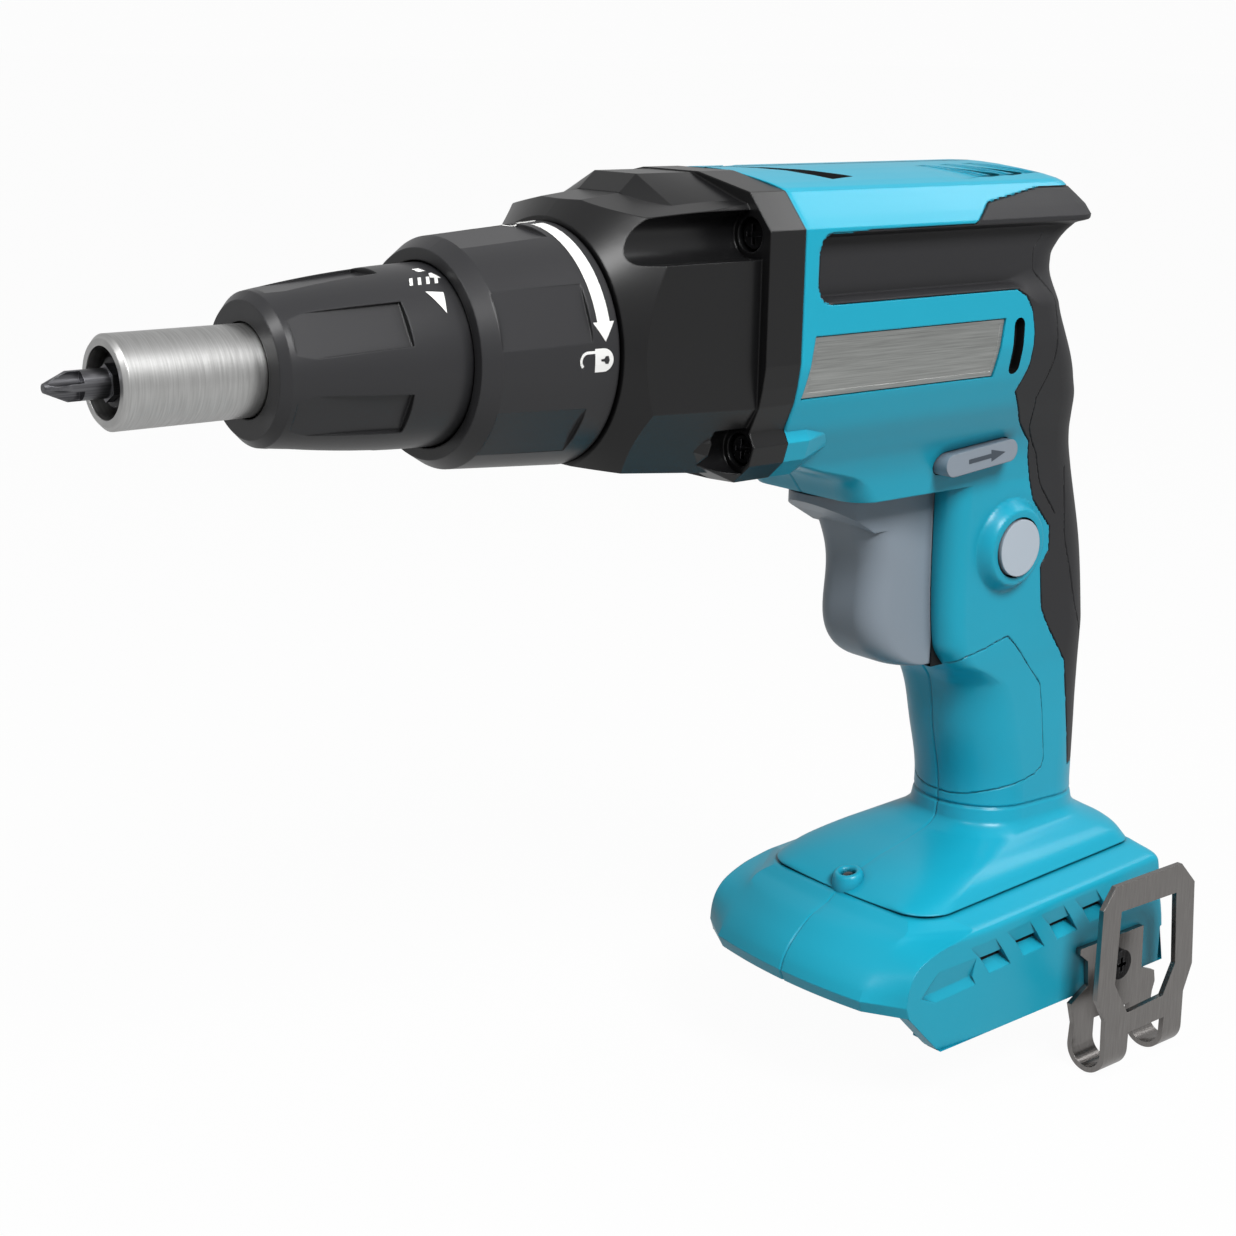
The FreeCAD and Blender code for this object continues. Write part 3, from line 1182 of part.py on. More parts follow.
def make_reverse_lever():
    flat = (dim.lever_length - dim.lever_tall) / 2
    radius = dim.lever_tall / 2
    body = padded("reverse_lever", "XZ_Plane", box_outline(-flat, -radius, flat, radius), -dim.lever_reach,
                  dim.lever_reach * 2)
    pad(body, "XZ_Plane", [], -dim.lever_reach, dim.lever_reach * 2,
        circles=[(-flat, 0, radius), (flat, 0, radius)])
    body.Placement = FreeCAD.Placement(vector(0, 0, 0), FreeCAD.Rotation(vector(0, 1, 0), -mm.lever_tilt))
    body.setExpression("Placement.Base.x", dim.lever_x.text)
    body.setExpression("Placement.Base.z", dim.lever_z.text)
    keep(body)


# Lamp and battery contacts in the foot

def make_lamp():
    keep(feature("led_lens", led_rod(mm.led_radius, -mm.led_length / 2, mm.led_bezel_proud - 1.6)))


def make_contacts():
    base_low = dim.block_base_top - dim.block_base_thick
    inner = dim.foot_half - dim.cheek_thick
    body = padded("terminal_block", "XY_Plane", box_outline(dim.base_front, -inner, dim.base_rear, inner),
                  base_low,
                  dim.block_base_thick)
    pad(body, "XY_Plane", [box_outline(dim.block_front, -dim.block_half, dim.block_front + dim.block_length,
                                       dim.block_half)],
        dim.block_low, base_low - dim.block_low)
    front, half = dim.block_front + dim.rib_thick * 3, dim.blade_thick / 2
    outlines = [box_outline(front, place - half, front + dim.blade_length, place + half)
                for place in (-dim.blade_spread, dim.blade_spread)]
    slots = pad(body, "XY_Plane", outlines, dim.block_low, dim.blade_drop, "PartDesign::Pocket")
    slots.Reversed = True
    keep(body)
    blades = [box((mm.block_front + mm.rib_thick * 3, place - mm.blade_thick / 2,
                   mm.block_low - mm.blade_drop),
                  (mm.block_front + mm.rib_thick * 3 + mm.blade_length, place + mm.blade_thick / 2,
                   mm.block_low + mm.blade_drop))
              for place in (-mm.blade_spread, mm.blade_spread)]
    keep(feature("terminal_blades", Part.makeCompound(blades)))
    keep(padded("controller_board", "XY_Plane",
                box_outline(dim.board_front, -dim.board_half, dim.board_front + dim.board_length,
                            dim.board_half),
                dim.block_base_top, dim.board_thick))


# Belt clip

def clip_profile():
    """U-bent strip in the YZ plane, as a face at x = 0."""
    inner = mm.foot_half + mm.running_gap
    outer_bend = (mm.clip_out - inner) / 2
    inner_bend = outer_bend - mm.clip_strip
    middle = -(mm.clip_out + inner) / 2
    bend = mm.clip_low + outer_bend

    def at(y, z):
        return vector(0, y, z)

    points = [at(-mm.clip_out, bend), at(-mm.clip_out, mm.clip_top),
              at(-mm.clip_out + mm.clip_strip, mm.clip_top),
              at(-mm.clip_out + mm.clip_strip, bend), at(-inner - mm.clip_strip, bend),
              at(-inner - mm.clip_strip, mm.clip_base_top),
              at(-inner, mm.clip_base_top), at(-inner, bend)]
    edges = [Part.makeLine(points[a], points[a + 1]) for a in (0, 1, 2, 4, 5, 6)]
    edges.append(Part.Arc(points[3], at(middle, bend - inner_bend), points[4]).toShape())
    edges.append(Part.Arc(points[7], at(middle, bend - outer_bend), points[0]).toShape())
    return Part.Face(Part.Wire(Part.__sortEdges__(edges)))


def make_belt_clip():
    low, top = mm.clip_low - 1, mm.clip_top + 0.5
    left, right = mm.clip_left, mm.clip_right
    strip = clip_profile().extrude(vector(right - left + 2, 0, 0))
    strip.translate(vector(left - 1, 0, 0))
    front = [(left + 4.8, top), (right - 8.8, top), (right - 1.8, -152.6), (right + 0.5, -177.0),
             (right - 2.5, -184.5),
             (right - 1.9, low), (left + 5.5, low), (left + 4.5, -184.0), (left + 0.2, -177.0),
             (left, -151.6)]
    window = [(257.2, -153.6), (280.8, -154.0), (283.1, -175.0), (278.7, -183.3), (263.3, -184.0),
              (256.9, -174.2)]
    base = [(256.4, -167.0), (283.5, -167.0), (284.2, -180.6), (290.2, -183.0), (290.9, -186.4),
            (290.0, -189.2), (right - 1.9, low), (left + 5.5, low), (256.0, -189.4), (254.1, -183.2),
            (261.0, -179.6), (260.0, -172.4), (256.4, -169.6)]
    middle = -(mm.clip_out + mm.foot_half) / 2
    front = prism(front, "y", -mm.clip_out - 1, middle).cut(prism(window, "y", -mm.clip_out - 2, middle))
    base = prism(base, "y", middle, -mm.foot_half)
    legs = box((264.5, -mm.clip_out - 1, low - 1), (280.0, -mm.foot_half, -190.0))
    hole = rod((mm.clip_screw_x, -mm.clip_out + 3, mm.clip_screw_z),
               (mm.clip_screw_x, -mm.foot_half, mm.clip_screw_z),
               mm.clip_screw_radius + mm.seat_gap)
    keep(feature("belt_clip", strip.common(front.fuse(base)).cut(legs).cut(hole)))
    one = screw(mm.clip_screw_head, mm.clip_head_height, mm.clip_screw_radius - mm.running_gap,
                mm.clip_screw_length)
    one.rotate(vector(0, 0, 0), vector(0, 0, 1), 90)
    seat = -mm.foot_half - mm.running_gap - mm.clip_strip
    one.translate(vector(mm.clip_screw_x, seat - mm.clip_head_height, mm.clip_screw_z))
    keep(feature("clip_screw", one))


# Build, check and write

def check_document():
    doc.recompute()
    for item in doc.Objects:
        if any(word in ("Invalid", "Error") for word in item.State):
            raise RuntimeError(f"{item.Label} did not recompute: {item.State}")
    for item in nodes:
        if item.Shape.isNull() or not item.Shape.isValid():
            raise RuntimeError(f"{item.Label} has no sound shape")


def write_parts():
    os.makedirs("parts", exist_ok=True)
    for item in nodes:
        item.Shape.exportStep(f"parts/{item.Label}.step")
        print(item.Label, len(item.Shape.Solids), "solids", round(item.Shape.Volume), "mm3")


for make in (make_locator_tip, make_depth_collar, make_nose_tube, make_lock_ring, make_snap_ring,
             make_driver_bit,
             make_bit_holder, make_bit_magnet, make_spindle, make_clutch, make_clutch_spring, make_gears,
             make_bearing_plate, make_rotor, make_fan, make_stator, make_coils, make_gear_case,
             make_case_screws,
             make_housing, make_house_screws, make_name_plates, make_trigger, make_switch, make_lock_button,
             make_reverse_lever, make_lamp, make_contacts, make_belt_clip):
    make()

check_document()
write_parts()
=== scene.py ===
import bpy
import bmesh
import math
import numpy as np
from mathutils import Matrix, Vector
from mathutils.bvhtree import BVHTree


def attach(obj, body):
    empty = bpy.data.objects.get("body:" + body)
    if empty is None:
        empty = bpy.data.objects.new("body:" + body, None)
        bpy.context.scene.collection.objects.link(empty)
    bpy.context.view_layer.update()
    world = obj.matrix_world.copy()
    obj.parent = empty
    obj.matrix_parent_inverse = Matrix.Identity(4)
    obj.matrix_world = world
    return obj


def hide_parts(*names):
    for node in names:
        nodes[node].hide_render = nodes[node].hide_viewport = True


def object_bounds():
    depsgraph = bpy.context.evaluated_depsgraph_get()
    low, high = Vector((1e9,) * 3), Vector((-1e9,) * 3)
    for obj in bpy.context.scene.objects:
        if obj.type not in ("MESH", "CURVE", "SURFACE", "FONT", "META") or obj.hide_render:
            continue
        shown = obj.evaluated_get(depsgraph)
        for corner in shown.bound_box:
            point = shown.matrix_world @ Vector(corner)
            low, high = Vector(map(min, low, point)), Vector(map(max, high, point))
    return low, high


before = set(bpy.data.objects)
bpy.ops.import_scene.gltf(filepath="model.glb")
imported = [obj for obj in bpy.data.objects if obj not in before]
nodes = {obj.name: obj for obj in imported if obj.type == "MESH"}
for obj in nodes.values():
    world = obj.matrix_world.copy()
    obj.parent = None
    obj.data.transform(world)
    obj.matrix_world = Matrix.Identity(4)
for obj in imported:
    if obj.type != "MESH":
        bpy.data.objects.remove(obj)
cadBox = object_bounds()
scene = bpy.context.scene
mm = 0.001  # every table below is in millimetres
print("frame loaded:", len(nodes), "nodes")


# small helpers

def hexToLinear(text, alpha=1.0):
    parts = [int(text[i:i + 2], 16) / 255 for i in (1, 3, 5)]
    linear = [c / 12.92 if c <= 0.04045 else ((c + 0.055) / 1.055) ** 2.4 for c in parts]
    return (*linear, alpha)


def addNode(tree, kind, inputs=None, **settings):
    node = tree.nodes.new(kind)
    for name, value in settings.items():
        setattr(node, name, value)
    for name, value in (inputs or {}).items():
        socket = node.inputs[name]
        if isinstance(value, bpy.types.NodeSocket):
            tree.links.new(value, socket)
        else:
            socket.default_value = value
    return node


def newMaterial(name):
    material = bpy.data.materials.new(name)
    material.use_nodes = True
    tree = material.node_tree
    return material, tree, tree.nodes["Principled BSDF"]


def meshObject(name, points, faces, material, smooth=True):
    mesh = bpy.data.meshes.new(name)
    mesh.from_pydata([tuple(p) for p in points], [], [tuple(f) for f in faces])
    mesh.update()
    item = bpy.data.objects.new(name, mesh)
    scene.collection.objects.link(item)
    mesh.materials.append(material)
    mesh.polygons.foreach_set("use_smooth", [smooth] * len(mesh.polygons))
    return item


def place(item, body):
    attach(item, body)


# materials

def finishSurface(tree, shader, colour, pattern, drift, rough, edgeMm, reliefMm, strength):
    # colour, a roughness that drifts a little, rounded edges and fine relief
    roughness = addNode(tree, "ShaderNodeMapRange", {
        "Value": drift, "To Min": rough - 0.04, "To Max": rough + 0.05})
    rounded = addNode(tree, "ShaderNodeBevel", {"Radius": edgeMm * mm}, samples=4)
    relief = addNode(tree, "ShaderNodeBump", {
        "Height": pattern, "Strength": strength, "Distance": reliefMm * mm,
        "Normal": rounded.outputs["Normal"]})
    tree.links.new(colour, shader.inputs["Base Color"])
    tree.links.new(roughness.outputs["Result"], shader.inputs["Roughness"])
    tree.links.new(relief.outputs["Normal"], shader.inputs["Normal"])


def mouldedPlastic(name, colour, deep, rough, grainMm, grainDepthMm, edgeMm, gloss):
    # fine spark-eroded grain, a slow drift of tone, and painted shade in corners and creases
    material, tree, shader = newMaterial(name)
    spot = addNode(tree, "ShaderNodeTexCoord").outputs["Object"]
    grain = addNode(tree, "ShaderNodeTexNoise", {"Vector": spot, "Scale": 1000 / grainMm, "Detail": 2.0})
    drift = addNode(tree, "ShaderNodeTexNoise", {"Vector": spot, "Scale": 1000 / driftMm, "Detail": 3.0})
    # ambient occlusion paints the darker colour into corners and creases as shade
    corner = addNode(tree, "ShaderNodeAmbientOcclusion", {"Distance": cornerShadeMm * mm}, samples=4)
    shade = addNode(tree, "ShaderNodeMapRange", {
        "Value": corner.outputs["AO"], "From Min": 0.3, "From Max": 0.9, "To Min": 1.0, "To Max": 0.0})
    drifted = addNode(tree, "ShaderNodeMapRange", {
        "Value": drift.outputs["Fac"], "To Min": 0.0, "To Max": 0.1})
    tone = addNode(tree, "ShaderNodeMath", {0: shade.outputs["Result"], 1: drifted.outputs["Result"]},
                   operation="ADD", use_clamp=True)
    mixed = addNode(tree, "ShaderNodeMix", {
        0: tone.outputs["Value"], 6: hexToLinear(colour), 7: hexToLinear(deep)}, data_type="RGBA")
    finishSurface(tree, shader, mixed.outputs[2], grain.outputs["Fac"], drift.outputs["Fac"], rough,
                  edgeMm, grainDepthMm, 0.3)
    shader.inputs["IOR"].default_value = 1.5
    shader.inputs["Specular IOR Level"].default_value = gloss
    return material


def finishedMetal(name, colour, deep, rough, lineMm, stretch, edgeMm, strength=0.15):
    # tool marks: noise drawn out along one axis, as turning, brushing or drawing leaves it
    material, tree, shader = newMaterial(name)
    spot = addNode(tree, "ShaderNodeTexCoord").outputs["Object"]
    drawn = addNode(tree, "ShaderNodeMapping", {"Vector": spot, "Scale": stretch})
    lines = addNode(tree, "ShaderNodeTexNoise", {
        "Vector": drawn.outputs["Vector"], "Scale": 1000 / lineMm, "Detail": 3.0})
    streak = addNode(tree, "ShaderNodeMapRange", {
        "Value": lines.outputs["Fac"], "From Min": 0.3, "From Max": 0.7})
    mixed = addNode(tree, "ShaderNodeMix", {
        0: streak.outputs["Result"], 6: hexToLinear(deep), 7: hexToLinear(colour)}, data_type="RGBA")
    finishSurface(tree, shader, mixed.outputs[2], lines.outputs["Fac"], lines.outputs["Fac"], rough,
                  edgeMm, lineDepthMm, strength)
    shader.inputs["Metallic"].default_value = 1.0
    return material


driftMm, cornerShadeMm = 38, 3.0  # size of the slow drift of tone, and reach of the painted shade in corners
lineDepthMm = 0.01
along = (0.02, 1.0, 1.0)   # marks that run with the axis
around = (1.0, 0.05, 0.05)  # turned marks, round the axis

upright = (1.0, 1.0, 0.06)  # marks that run up and down
even = (1.0, 1.0, 1.0)

# name, colour, colour of painted corner shade and tone drift, roughness, grain and its depth in mm, edge
# radius in mm, gloss
plastics = {
    # satin shells with soft highlights
    "tealAbs": ("ABS teal moulded satin", "#17A9C6", "#0A566A", 0.31, 0.9, 0.02, 0.5, 0.38),
    "caseNylon": ("PA6 glass-filled black satin", "#131314", "#060607", 0.29, 0.8, 0.012, 0.5, 0.38),
    "greyNylon": ("PA6 dark grey moulded satin", "#2D2D2F", "#0C0C0D", 0.32, 0.8, 0.012, 0.5, 0.38),
    # dull grip that hardly shines
    "blackRubber": ("TPE rubber black matte", "#2C2C2E", "#101011", 0.5, 0.7, 0.05, 0.4, 0.28),
    # small controls, a little duller than the shells
    "triggerAbs": ("ABS grey moulded trigger", "#8C97A2", "#3C434C", 0.36, 0.8, 0.03, 0.5, 0.35),
    "leverAbs": ("ABS pale grey moulded lever", "#8F99A4", "#4C545E", 0.42, 0.8, 0.03, 0.4, 0.35),
    "buttonAbs": ("ABS pale grey moulded button", "#BAC5D0", "#6D7782", 0.42, 0.8, 0.03, 0.4, 0.35),
    # flat arrow painted darker grey as the shade of the lever's sunk arrow
    "engravingShadeAbs": ("ABS grey sunk arrow", "#4A525B", "#2A3036", 0.5, 0.8, 0.03, 0.1, 0.25),
    # black of the inner parts, also painted as shade in slots, gaps and hollows; flat white ink and dull
    # green lacquer
    "innerBlackAndShade": ("PBT black moulded inner", "#151516", "#070708", 0.55, 0.8, 0.03, 0.3, 0.2),
    "whitePrint": ("Pad print white", "#F0F0EE", "#C9C9C6", 0.5, 0.6, 0.005, 0.05, 0.3),
    "boardGreen": ("Potted circuit board", "#1B4A2C", "#0C2415", 0.45, 1.2, 0.03, 0.2, 0.5),
}
# name, colour, colour of the marks, roughness, width of the marks in mm, how they stretch, edge radius in mm
metals = {
    # bright tip with fine rings, dark hard bits and oiled holder
    "satinSteel": ("Stainless steel turned satin", "#C6C6C5", "#B2B2B1", 0.36, 0.35, around, 0.35),
    "toolSteel": ("Tool steel hardened dark", "#77777A", "#565659", 0.32, 0.4, along, 0.15),
    "holderSteel": ("Steel oiled holder", "#3C3C3E", "#242426", 0.38, 0.4, around, 0.3),
    # plate with long brush lines, and a smoky plated clip with weaker marks than the rest
    "brushedPlate": ("Aluminium brushed plate", "#B4B6B4", "#979997", 0.36, 0.3, along, 0.15),
    "darkNickel": ("Spring steel dark nickel plated", "#8C8987", "#7E7B79", 0.24, 0.5, upright, 0.2, 0.08),
    # dark shiny screws, bright wire, warm copper and bronze, pale casting, dull core
    "screwBlack": ("Screw steel black oxide", "#5A5A5C", "#343436", 0.22, 0.5, around, 0.25),
    "springWire": ("Spring wire drawn", "#B0B0B2", "#8C8C8E", 0.3, 0.3, around, 0.1),
    "copper": ("Copper drawn", "#C98A5C", "#A06A42", 0.35, 0.3, around, 0.1),
    "bronze": ("Bronze sintered", "#B08A55", "#866840", 0.5, 0.4, around, 0.2),
    "castAluminium": ("Aluminium die cast", "#BDBDBB", "#9C9C9A", 0.45, 0.8, even, 0.3),
    "coreSteel": ("Core steel laminated", "#9A9A9C", "#606062", 0.42, 0.35, (1.0, 0.02, 0.02), 0.1),
}
finishes = {key: mouldedPlastic(*row) for key, row in plastics.items()}
finishes.update({key: finishedMetal(*row) for key, row in metals.items()})


def lensMaterial():
    # near black, with a sharp shine
    material, tree, shader = newMaterial("Polycarbonate dark lamp lens")
    spot = addNode(tree, "ShaderNodeTexCoord").outputs["Object"]
    speck = addNode(tree, "ShaderNodeTexNoise", {"Vector": spot, "Scale": 1000 / 1.5, "Detail": 2.0})
    mixed = addNode(tree, "ShaderNodeMix", {
        0: speck.outputs["Fac"], 6: hexToLinear("#07070A"), 7: hexToLinear("#1C1E26")}, data_type="RGBA")
    tree.links.new(mixed.outputs[2], shader.inputs["Base Color"])
    shader.inputs["Roughness"].default_value = 0.12
    shader.inputs["Coat Weight"].default_value = 0.8
    return material


finishes["lampLens"] = lensMaterial()
print("materials made:", len(finishes))


# housing skin: level slices from the foot to the roof, drawn for the left half and mirrored
# level, nose, shoulder x and y, corner x, half width, rear, rear rounding, facet share of the front corner
skin = {
    "foot": [
        (-171.2, 184.7, 187.0, 26.8, 193.2, 38.0, 295.4, 2.0, 1.0),
        (-168.0, 183.4, 185.7, 27.4, 192.0, 38.0, 294.9, 2.0, 1.0),
        (-165.0, 184.4, 187.2, 27.2, 192.3, 38.0, 294.2, 2.0, 1.0),
        (-161.7, 186.5, 189.7, 27.0, 193.3, 38.0, 293.3, 2.0, 1.0),
        (-158.2, 189.7, 193.3, 27.0, 196.0, 38.0, 292.3, 2.0, 1.0),
        (-156.3, 191.8, 195.5, 27.2, 199.6, 38.0, 291.7, 2.0, 1.0),
        (-155.0, 193.8, 197.2, 27.4, 204.6, 37.9, 291.3, 2.0, 1.0),
        (-153.9, 196.8, 199.3, 27.6, 212.4, 37.4, 290.9, 2.5, 1.0),
        (-153.2, 199.2, 201.2, 27.2, 215.4, 36.4, 290.5, 3.0, 1.0),
        (-152.2, 201.0, 202.8, 25.8, 214.0, 33.4, 290.0, 4.0, 0.9),
        (-151.3, 202.3, 204.2, 24.4, 212.4, 30.9, 289.6, 5.0, 0.75),
        (-151.0, 202.6, 204.6, 24.0, 212.0, 30.3, 289.4, 5.5, 0.7)],
    # level, front, rear, half width, front rounding, rear rounding
    "handle": [
        (-150.2, 204.4, 289.2, 29.7, 10.0, 6.0), (-148.0, 209.0, 289.0, 28.3, 11.0, 8.0),
        (-145.5, 217.6, 288.4, 25.5, 12.0, 10.0), (-143.0, 229.6, 287.2, 22.0, 13.0, 12.0),
        (-140.5, 237.2, 286.4, 19.3, 14.0, 14.0), (-137.0, 240.2, 286.0, 17.6, 15.0, 15.5),
        (-131.0, 240.6, 285.8, 17.0, 15.2, 16.0), (-111.0, 236.8, 285.4, 17.0, 14.6, 16.0),
        (-98.0, 234.6, 284.4, 17.2, 11.5, 15.0), (-94.0, 231.6, 284.0, 17.3, 8.6, 14.5),
        (-90.3, 226.6, 283.5, 17.5, 6.2, 14.0), (-84.0, 222.3, 282.5, 17.7, 6.0, 13.0),
        (-65.0, 220.5, 279.0, 18.2, 5.5, 13.0), (-42.0, 220.0, 271.3, 19.4, 5.0, 13.0)],
    "barrel": [
        (-42.0, 184.0, 271.3, 19.4, 7.0, 13.0), (-36.0, 178.5, 268.4, 20.6, 6.0, 13.0),
        (-31.0, 163.0, 265.7, 22.4, 4.0, 13.0), (-26.0, 150.5, 262.6, 25.2, 2.0, 13.0),
        (-20.0, 149.5, 258.8, 28.6, 0.8, 13.0), (-16.0, 149.5, 256.0, 30.2, 0.8, 13.0),
        (-13.0, 149.5, 254.0, 31.3, 0.8, 13.0), (-9.0, 149.5, 251.4, 32.3, 0.8, 13.0),
        (-4.0, 149.5, 248.2, 33.0, 0.8, 13.0), (7.0, 149.5, 244.0, 33.0, 0.8, 12.5),
        (14.9, 149.5, 244.0, 33.0, 0.8, 12.0), (18.4, 149.5, 245.6, 33.0, 0.8, 11.0),
        (20.8, 149.5, 247.8, 33.0, 0.8, 10.0), (23.0, 149.5, 250.8, 33.0, 0.8, 9.0),
        (24.2, 149.5, 251.6, 33.0, 0.8, 8.5), (25.0, 149.5, 251.8, 33.0, 0.8, 8.5)],
    "roof": [
        (25.0, 149.5, 251.8, 33.0, 0.8, 8.5), (27.4, 149.5, 251.3, 31.1, 0.8, 8.0),
        (29.5, 149.5, 249.6, 29.3, 0.8, 7.5), (32.6, 149.5, 247.0, 26.6, 0.8, 7.0),
        (33.3, 149.5, 246.2, 25.2, 0.8, 7.0), (34.2, 149.5, 244.6, 21.6, 0.8, 6.0),
        (35.2, 149.5, 242.2, 16.0, 0.8, 5.0), (36.0, 149.5, 240.0, 10.4, 0.8, 4.0),
        (36.4, 149.5, 238.6, 5.4, 0.8, 3.0), (36.5, 149.5, 238.0, 0.5, 0.3, 0.3)],
    # front edge above and below, low edge at the front and rear, thickness
    "cheek": (193.0, 204.0, -182.6, -181.6, 4.5),
    "samples": (16, 9, 110, 14, 12),  # front, corner, side, rear corner, back
    "foreSide": (225.0, 70),  # the barrel's side in front of the handle: its end and samples
    "seamWidth": 0.5, "seamDepth": 0.35,
    "deckTilt": 0.049, "deckPivot": 204.0,
    "recess": (154.3, 8.4, 24.0, 4.2, 4.0),  # front, low, high, depth, corner radius
    # where the recess runs out into the grip: from, to, drop of its low edge, softness of that edge there
    "recessEnd": (219.0, 231.0, 5.0, 8.0),
    "recessEdge": 1.5,  # width of the rounding along the recess
    "bezel": (241.0, -59.4, 9.5, 12.6, 3.4),  # centre x and z, flat radius, foot radius, height
    "dome": (-151.0, 1.3, 0.26),  # level, depth and half width of the line round the raised deck
    # groove round the grip's lower end: depth, half width, level and its x, fall to the rear, dip in front
    "ring": (0.5, 0.42, -133.2, 243.7, 0.03, 0.5),
    "taper": (0.042, 190.0, 225.0),  # how much narrower the foot is at its front, from and to
    "trigger": (11.2, -90.3, -42.0, 231.0),  # half width, low, high, reach of the opening
}


def monotone(xs, ys, at):
    # smooth curve through the rows that never overshoots them
    xs, ys = np.asarray(xs, float), np.asarray(ys, float)
    step = np.diff(xs)
    slope = np.diff(ys) / step
    tangent = np.zeros(len(xs))
    tangent[0], tangent[-1] = slope[0], slope[-1]
    same = slope[:-1] * slope[1:] > 0
    w1, w2 = 2 * step[1:] + step[:-1], step[1:] + 2 * step[:-1]
    inner = np.zeros(len(xs) - 2)
    inner[same] = ((w1 + w2)[same]) / (w1[same] / slope[:-1][same] + w2[same] / slope[1:][same])
    tangent[1:-1] = inner
    index = np.clip(np.searchsorted(xs, at, side="right") - 1, 0, len(xs) - 2)
    t = (at - xs[index]) / step[index]
    h = step[index]
    return ((2 * t ** 3 - 3 * t ** 2 + 1) * ys[index] + (t ** 3 - 2 * t ** 2 + t) * h * tangent[index]
            + (3 * t ** 2 - 2 * t ** 3) * ys[index + 1] + (t ** 3 - t ** 2) * h * tangent[index + 1])


def fade(low, high, value):
    t = np.clip((value - low) / (high - low), 0.0, 1.0)
    return t * t * (3 - 2 * t)


def levelRows(table, stops, smooth):
    # rows of nine numbers at every level between the stops, each stop being (level, step to the next)
    rows = []
    for row in table:
        if len(row) == 6:
            level, front, rear, half, frontRound, rearRound = row
            row = (level, front, front, half - frontRound, front + frontRound, half, rear, rearRound, 0.0)
        rows.append(row)
    rows = np.array(rows, float)
    levels = []
    for (start, step), (end, _) in zip(stops, stops[1:]):
        count = max(1, int(round(abs(end - start) / step)))
        levels += [start + (end - start) * i / count for i in range(count)]
    levels = np.array(levels + [stops[-1][0]])
    out = [levels]
    for column in range(1, 9):
        if smooth:
            out.append(monotone(rows[:, 0], rows[:, column], levels))
        else:
            out.append(np.interp(levels, rows[:, 0], rows[:, column]))
    return np.stack(out, axis=1)


def sliceOutline(row, foreSide):
    # one level of the left half, from the front seam round the left side to the rear seam
    level, nose, shoulderX, shoulderY, cornerX, half, rear, rearRound, facet = row
    frontCount, cornerCount, sideCount, arcCount, backCount = skin["samples"]
    shoulderY = max(shoulderY, 0.004)
    seam = min(skin["seamWidth"], shoulderY * 0.5)
    edge = skin["trigger"][0] if shoulderY > skin["trigger"][0] + 0.1 else shoulderY * 0.6
    edge = max(edge, seam * 1.2)
    across = np.concatenate([[0.0], np.linspace(seam, edge, frontCount // 2),
                             np.linspace(edge, shoulderY, frontCount // 2)[1:]])
    front = np.stack([nose + (shoulderX - nose) * (across / shoulderY) ** 2, -across], axis=1)
    t = np.linspace(0, 1, cornerCount + 1)[1:]
    bend = t * math.pi / 2
    arc = np.stack([cornerX - (cornerX - shoulderX) * np.cos(bend),
                    -(shoulderY + (half - shoulderY) * np.sin(bend))], axis=1)
    line = np.stack([shoulderX + (cornerX - shoulderX) * t, -(shoulderY + (half - shoulderY) * t)], axis=1)
    corner = arc * (1 - facet) + line * facet
    rearRound = min(rearRound, half * 0.98)
    end = rear - rearRound
    along = np.linspace(cornerX, end, sideCount + 1)[1:]
    if foreSide:
        split, foreCount = skin["foreSide"]
        along = np.concatenate([np.linspace(cornerX, split, foreCount + 1)[1:],
                                np.linspace(split, end, sideCount + 1)[1:]])
    side = np.stack([along, np.full(len(along), -half)], axis=1)
    bend = np.linspace(0, math.pi / 2, arcCount + 1)[1:]
    rearArc = np.stack([end + rearRound * np.sin(bend),
                        -(half - rearRound) - rearRound * np.cos(bend)], axis=1)
    low = max(half - rearRound, 0.004)
    seam = min(skin["seamWidth"], low * 0.5)
    back = np.concatenate([np.linspace(low, seam, backCount)[1:], [0.0]])
    rearLine = np.stack([np.full(backCount, rear), -back], axis=1)
    return np.concatenate([front, corner, side, rearArc, rearLine])


def skinGrids():
    # two grids of points: foot with handle, and barrel with roof
    band = levelRows(skin["foot"][:2], [(-171.2, 0.8), (-168.0, 0.8)], False)
    deck = levelRows(skin["foot"][1:], [(-168.0, 0.4), (-156.0, 0.25), (-152.0, 0.1), (-151.0, 0.1)], True)
    foot = np.concatenate([band, deck[1:]])
    handle = levelRows([skin["foot"][-1]] + skin["handle"],
                       [(-151.0, 0.1), (-150.0, 0.2), (-146.0, 0.25), (-131.0, 0.8), (-98.0, 0.6),
                        (-90.3, 0.7), (-42.0, 0.7)], True)
    barrel = levelRows(skin["barrel"], [(-42.0, 0.5), (-12.0, 0.6), (7.0, 0.3), (25.0, 0.3)], True)
    roof = levelRows(skin["roof"], [(25.0, 0.4), (32.6, 0.175), (33.3, 0.15), (36.0, 0.1), (36.4, 0.05),
                                    (36.5, 0.05)], False)
    grids = []
    for lower, upper, foreSide in ((foot, handle, False), (barrel, roof, True)):
        rows = np.concatenate([lower, upper[1:]])
        outlines = [sliceOutline(row, foreSide) for row in rows]
        grid = np.zeros((len(rows), len(outlines[0]), 3))
        for i, outline in enumerate(outlines):
            grid[i, :, :2] = outline
            grid[i, :, 2] = rows[i, 0]
        grids.append((rows, grid))
    return grids


